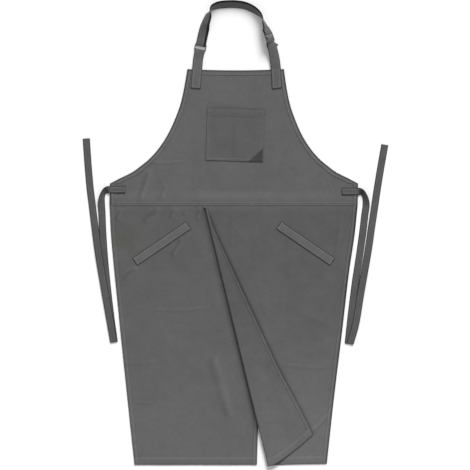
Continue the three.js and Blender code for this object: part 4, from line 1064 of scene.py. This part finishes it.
def cloth_material(name, colour, stain_colour=None, weave=0.95):
    """Plain-weave canvas: threads both ways, slubs, mottling, painted shade and a stain."""
    slub, mottle, bump, sheen = 0.34, 0.16, 0.4, 0.15
    n = Nodes(name)
    uv = n.add("ShaderNodeUVMap", uv_map="cloth").outputs[0]
    split = n.add("ShaderNodeSeparateXYZ", Vector=uv)
    turns = 2 * math.pi * 100 / weave
    waves = [n.math("SINE", n.math("MULTIPLY", split.outputs[k], turns), 0.0) for k in (0, 1)]
    weave_height = n.math("MULTIPLY", *waves)
    warp = n.noise(uv, 14, 3, (5.0, 0.45, 1.0))
    weft = n.noise(uv, 14, 3, (0.45, 5.0, 1.0))
    total = n.math("MULTIPLY", weave_height, 0.05)
    blotch, fine = n.noise(uv, 3.2, 4), n.noise(uv, 90, 2)
    for value, factor in ((warp, slub), (weft, slub), (blotch, mottle), (fine, 0.35)):
        total = n.math("ADD", total, n.scaled(value, 0.5, factor))
    shade = n.painted("shade")
    if stain_colour:
        colour = n.mix("VECTOR", n.painted("stain"), colour, stain_colour)
    height = n.math("MULTIPLY", n.math("ADD", warp, weft), 0.8)
    height = n.math("ADD", n.math("MULTIPLY", weave_height, 0.5), height)
    return n.surface(
        Base_Color=n.tinted(colour, n.math("MULTIPLY", n.math("ADD", total, 1.0), shade)),
        Normal=n.bump(height, bump, 0.0002), Roughness=0.93, Specular_IOR_Level=0.2,
        Sheen_Weight=n.math("MULTIPLY", shade, sheen), Sheen_Roughness=0.55,
    )


def thread_material(name, colour):
    n = Nodes(name)
    twist = n.noise(n.add("ShaderNodeTexCoord").outputs["Object"], 2500, 1)
    tone = n.math("ADD", n.math("MULTIPLY", twist, 0.5), 0.75)
    return n.surface(Base_Color=n.tinted(colour, tone), Roughness=0.75, Sheen_Weight=0.2)


def metal_material(name, low, high, roughness, grain):
    """Worn metal: dark in the pits and brighter where it is rubbed."""
    n = Nodes(name)
    place = n.add("ShaderNodeTexCoord").outputs["Object"]
    patches, pits = n.noise(place, grain, 5), n.noise(place, grain * 4, 3)
    return n.surface(
        Base_Color=n.mix("RGBA", n.scaled(patches, 0.36, 3.4), (*low, 1), (*high, 1)),
        Roughness=n.math("ADD", n.math("MULTIPLY", pits, 0.3), roughness),
        Normal=n.bump(pits, 0.5, 0.0003), Metallic=0.9,
    )


APRON_CLOTH = cloth_material("apron_canvas", (0.106, 0.106, 0.107), (0.09, 0.091, 0.076))
POCKET_CLOTH = cloth_material("pocket_canvas", (0.097, 0.097, 0.099))
STRAP_CLOTH = cloth_material("strap_canvas", (0.082, 0.082, 0.084))
PATCH_CLOTH = cloth_material("patch_cloth", (0.045, 0.045, 0.047), weave=0.7)
THREAD = thread_material("topstitch_thread", (0.19, 0.19, 0.192))
BRASS = metal_material("antique_brass", (0.03, 0.03, 0.022), (0.24, 0.225, 0.165), 0.32, 420)
DARK_METAL = metal_material("dark_metal", (0.02, 0.02, 0.021), (0.09, 0.09, 0.092), 0.35, 300)


def dress(piece, material, slot, *nodes):
    piece.data.materials.append(material)
    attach(piece, "root")
    if nodes:
        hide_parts(*nodes)
    return piece


# Legs, bib, pocket, patch and welts.
leg_left = dress(left_leg(), APRON_CLOTH, "apron_cloth", "leg_left")
leg_right = dress(right_leg(), APRON_CLOTH, "apron_cloth", "leg_right")
bib_piece = dress(bib(), APRON_CLOTH, "apron_cloth", "bib")
pocket_piece = dress(pocket(), POCKET_CLOTH, "pocket_cloth", "bib_pocket")
patch_piece = dress(corner_patch(), PATCH_CLOTH, "patch_cloth", "pocket_corner")
welt_left = dress(welt(-1, "welt_left_cloth"), APRON_CLOTH, "apron_cloth", "welt_left")
welt_right = dress(welt(1, "welt_right_cloth"), APRON_CLOTH, "apron_cloth", "welt_right")

# Neck strap, ring, buckle, tab and adjuster.
neck_stations = [
    (BIB_LEAN + a * (BIB_TOP_WIDTH / 2 - STRAP_INSET) + LOOP_SHIFT, BIB_LENGTH + u * LOOP_RISE, tilt, layers)
    for a, u, tilt, layers in NECK_ROUTE
]
NECK_SAMPLES = 12
neck_route = strap_route(neck_stations, STRAP_WIDTH, STRAP, NECK_SAMPLES)
ring_point, ring_side, ring_along, _ = neck_route[0]
ring_turn = RING_BAR / 2 + GAP + STRAP / 2
ring_opening = RING_WINDOW + 2 * (ring_turn + STRAP / 2)
ring_centre = np.array([ring_point[0], ring_point[1], STRAP / 2 + ring_turn])
ring_piece = frame_piece(
    "strap_ring_metal", RING_BAR, ring_opening, 1, RING_BAR, ring_centre, ring_side, ring_along, RING_ROUND
)
dress(ring_piece, DARK_METAL, "ring_metal", "strap_ring")
buckle_point, buckle_side, buckle_along, _ = neck_route[BUCKLE_STATION * NECK_SAMPLES]
buckle_up = unit(np.cross(buckle_side, buckle_along))
buckle_piece = frame_piece(
    "slide_buckle_metal", BUCKLE_BAR, BUCKLE_WINDOW, 2, BUCKLE_THICKNESS,
    buckle_point, buckle_side, buckle_along, BUCKLE_ROUND,
)
dress(buckle_piece, BRASS, "antique_brass", "slide_buckle")


def neck_strap_stations():
    """The neck strap from its turn round the ring to its turn round the buckle's upper bar."""
    start = bar_turn(
        ring_centre + ring_along * ring_opening / 2, ring_along, ring_side, RING_BAR, RING_BAR, RING_TAIL
    )
    end = bar_turn(
        buckle_point - buckle_along * (BUCKLE_BAR / 2 + BUCKLE_WINDOW), -buckle_along, buckle_side,
        BUCKLE_BAR, BUCKLE_THICKNESS, BUCKLE_TAIL,
    )[::-1]
    clear_ring = ring_opening / 2 + RING_TAIL + 6
    clear_buckle = BUCKLE_BAR / 2 + BUCKLE_WINDOW + BUCKLE_TAIL + 6
    middle = [
        (point, side) for point, side, _, place in neck_route
        if place < BUCKLE_STATION
        and np.linalg.norm(point - ring_centre) > clear_ring
        and np.linalg.norm(point - buckle_point) > clear_buckle
    ]
    return [*start, *middle, *end]


def tab_stations():
    """The tab from its sewn end on the bib to its turn round the ring."""
    end = bar_turn(
        ring_centre - ring_along * ring_opening / 2, -ring_along, ring_side, RING_BAR, RING_BAR, RING_TAIL
    )[::-1]
    last = end[0][0]
    bottom = np.array([neck_stations[0][0] - TAB_LEAN, BIB_LENGTH - TAB_SEWN, ON_BIB])
    flat = unit((last - bottom) * [1, 1, 0])
    start = []
    for share in np.linspace(0, 0.82, 14):
        point = bottom + (last - bottom) * share
        clear = float(np.clip((point[1] - BIB_LENGTH - 3) / 20, 0, 1))
        point[2] = ON_BIB + SEWN_RISE + (last[2] - ON_BIB - SEWN_RISE) * float(smooth(clear))
        side = unit(np.array([flat[1], -flat[0], 0]) * (1 - share) + ring_side * share)
        start.append((point, side))
    return start + end


def adjuster_stations():
    """The adjuster from its free tail, under and round the buckle's middle bar, to its sewn end."""
    radius = BUCKLE_THICKNESS / 2 + GAP + STRAP / 2
    layer, half = STRAP + GAP, BUCKLE_BAR / 2
    lower = half + BUCKLE_WINDOW
    at = lambda down, over: (buckle_point + buckle_along * down + buckle_up * over, buckle_side)
    out = -unit(buckle_side * [1, 1, 0])
    c, s = math.cos(TAIL_SPLAY), math.sin(TAIL_SPLAY)
    tail_side = np.array([-out[0] * c + out[1] * s, -out[0] * s - out[1] * c, 0]) * math.cos(TAIL_TILT)
    tail_side[2] = math.sin(TAIL_TILT)
    start, start_side = at(lower + BUCKLE_BAR, -radius - layer * 1.5)
    stations = []
    for share in np.linspace(1, 0.1, 10):
        turned = min(1.0, share * 1.8)
        side = unit(start_side * (1 - turned) + tail_side * turned)
        point = start - start_side * STRAP_WIDTH / 2 + buckle_along * ADJUSTER_TAIL * share
        point = point + out * TAIL_OUT * share + side * STRAP_WIDTH / 2
        point[2] = STRAP / 2 + GAP + STRAP_WIDTH / 2 * side[2]
        stations.append((point, side))
    stations += [
        (start, start_side), at(lower, -radius - layer * 1.2), at(half + 2, -radius - layer * 0.3),
    ]
    for angle in np.radians(np.linspace(-90, -270, 13)):
        stations.append(at(radius * math.cos(angle) - half, radius * math.sin(angle)))
    stations += [at(half + 0.5, radius), at(lower - 0.5, -radius), at(lower + BUCKLE_BAR, -radius)]
    reach = neck_route[-1][3] - BUCKLE_STATION
    for point, side, along, place in neck_route:
        if place > BUCKLE_STATION and np.linalg.norm(point - buckle_point) > lower + BUCKLE_BAR + 4:
            up = unit(np.cross(side, along))
            share = (place - BUCKLE_STATION) / reach
            raised = SEWN_RISE * float(smooth((share - 0.7) / 0.3))
            stations.append((point - up * radius * max(0, 1 - 1.4 * share) + [0, 0, raised], side))
    edge, side = stations[-1]
    bottom = np.array([edge[0] + ADJUSTER_LEAN, BIB_LENGTH - TAB_SEWN, ON_BIB + SEWN_RISE])
    for share in (0.25, 0.5, 0.75, 1):
        point = edge + (bottom - edge) * share
        point[2] = ON_BIB + SEWN_RISE
        stations.append((point, side))
    return stations


def box_stitch(x, y, z, length, width):
    """Stitches round a box on a sewn end, from the middle of the box's first side."""
    low, high = y - width / 2, y + width / 2
    corners = [(x, low), (x + length, low), (x + length, high), (x, high), (x, low)]
    for (x0, y0), (x1, y1) in zip(corners, corners[1:]):
        strap_thread.on_top(np.linspace(x0, x1, 12), np.linspace(y0, y1, 12), z, pitch=3.0, length=2.2)


strap_thread = Thread("strap_thread")
neck_piece, neck_length = strap_piece(
    "neck_strap", neck_strap_stations(), STRAP_WIDTH, 101, thickness=NECK_STRAP, raised=(12, 342)
)
tab_piece, tab_length = strap_piece(
    "neck_tab", tab_stations(), STRAP_WIDTH, 111, sewn=(TAB_SEWN, 0), tone=1.25
)
adjuster_piece, adjuster_length = strap_piece(
    "adjuster_strap", adjuster_stations(), STRAP_WIDTH, 121, sewn=(0, TAB_SEWN), tone=1.2
)


# Waist ties.
def tie_stations(leg):
    """A tie's stations from its sewn end down and back up, the height it is sewn at, and its lift there."""
    tie_height = WAIST_EDGE_HEIGHT - TIE_MARGIN[leg] - TIE_WIDTH / 2

    def place(out, down, tilt, layers):
        height = tie_height - down * TIE_DROP
        edge = abs(float(outer_edge(leg, max(0, -height))))
        return leg * (edge + out * TIE_WIDTH), height, -leg * tilt, layers

    down = strap_route(
        [place(left if leg < 0 else right, *rest) for left, right, *rest in TIE_DOWN], TIE_WIDTH, STRAP, 8
    )
    back = strap_route([place(o, d, 0, layers) for o, d, layers in TIE_BACK[leg]], TIE_WIDTH, STRAP, 8)
    lift = float(bib_lift(leg * WAIST_WIDTH / 2, tie_height - TIE_WIDTH / 2))
    sewn_side = np.array([0, -leg, 0.0])
    sewn = [
        (np.array([leg * (WAIST_WIDTH / 2 - inside), tie_height, ON_BIB + lift + TIE_RISE]), sewn_side)
        for inside in (TIE_SEWN + 6, 30, 15, 1)
    ]
    low, high = down[-1], back[0]
    radius = (high[0][2] - low[0][2]) / 2
    turn = []
    for angle in np.radians(np.linspace(0, 180, 11)[1:-1]):
        share = angle / math.pi
        point = low[0] + (high[0] - low[0]) * share + low[2] * radius * math.sin(angle)
        point[2] = low[0][2] + radius * (1 - math.cos(angle))
        turn.append((point, unit(low[1] * (1 - share) - high[1] * share)))
    first = [(point + [0, 0, 1.0 * max(0, 1 - place)], side) for point, side, _, place in down]
    return sewn + first + turn + [(point, -side) for point, side, _, _ in back], tie_height, lift


for leg, name in ((-1, "waist_tie_left"), (1, "waist_tie_right")):
    stations, tie_height, lift = tie_stations(leg)
    strap_piece(
        name, stations, TIE_WIDTH, 140 + leg, sewn=(TIE_SEWN + 4, 0), dark=(TIE_SEWN + 17, 9)
    )
    top = ON_BIB + lift + TIE_RISE + STRAP / 2
    box_stitch(leg * (WAIST_WIDTH / 2 - TIE_SEWN - 2), tie_height, top, leg * 30, TIE_WIDTH - 6)

for thread, slot in (
    (left_thread(), "apron_cloth"), (right_thread(), "apron_cloth"), (bib_thread(), "apron_cloth"),
    (pocket_thread(), "pocket_cloth"), (strap_thread, "strap_cloth"),
    (welt_thread(-1, "welt_left_thread"), "apron_cloth"),
    (welt_thread(1, "welt_right_thread"), "apron_cloth"),
):
    dress(thread.piece(), THREAD, slot)


# Ground, light and camera.
bpy.ops.mesh.primitive_plane_add(size=12, location=(0, 0, -0.0005))
floor = bpy.context.object
floor.name = "ground"
floor.data.materials.append(
    Nodes("pale_ground").surface(Base_Color=(0.96, 0.96, 0.96, 1), Roughness=0.95, Specular_IOR_Level=0.1)
)

world = bpy.data.worlds.new("studio")
world.use_nodes = True
world.node_tree.nodes["Background"].inputs[0].default_value = (1, 1, 1, 1)
world.node_tree.nodes["Background"].inputs[1].default_value = 0.5
bpy.context.scene.world = world

sun_data = bpy.data.lights.new("key", "SUN")
sun_data.energy, sun_data.angle = 3.4, math.radians(26)
sun = link_object("key", sun_data)
sun.location = (0.8, 2.6, 1.75)
sun.rotation_euler = (-sun.location).to_track_quat("-Z", "Y").to_euler()

PIXEL = 2.82 / 1000
LENS, SENSOR = 600.0, 36.0
camera_data = bpy.data.cameras.new("camera")
camera_data.lens, camera_data.sensor_width, camera_data.clip_end = LENS, SENSOR, 100
camera = link_object("camera", camera_data)
camera.location = (1.3 * PIXEL, -29.5 * PIXEL, 470 * PIXEL * LENS / SENSOR)
bpy.context.scene.camera = camera
bpy.context.scene.view_settings.view_transform = "Standard"
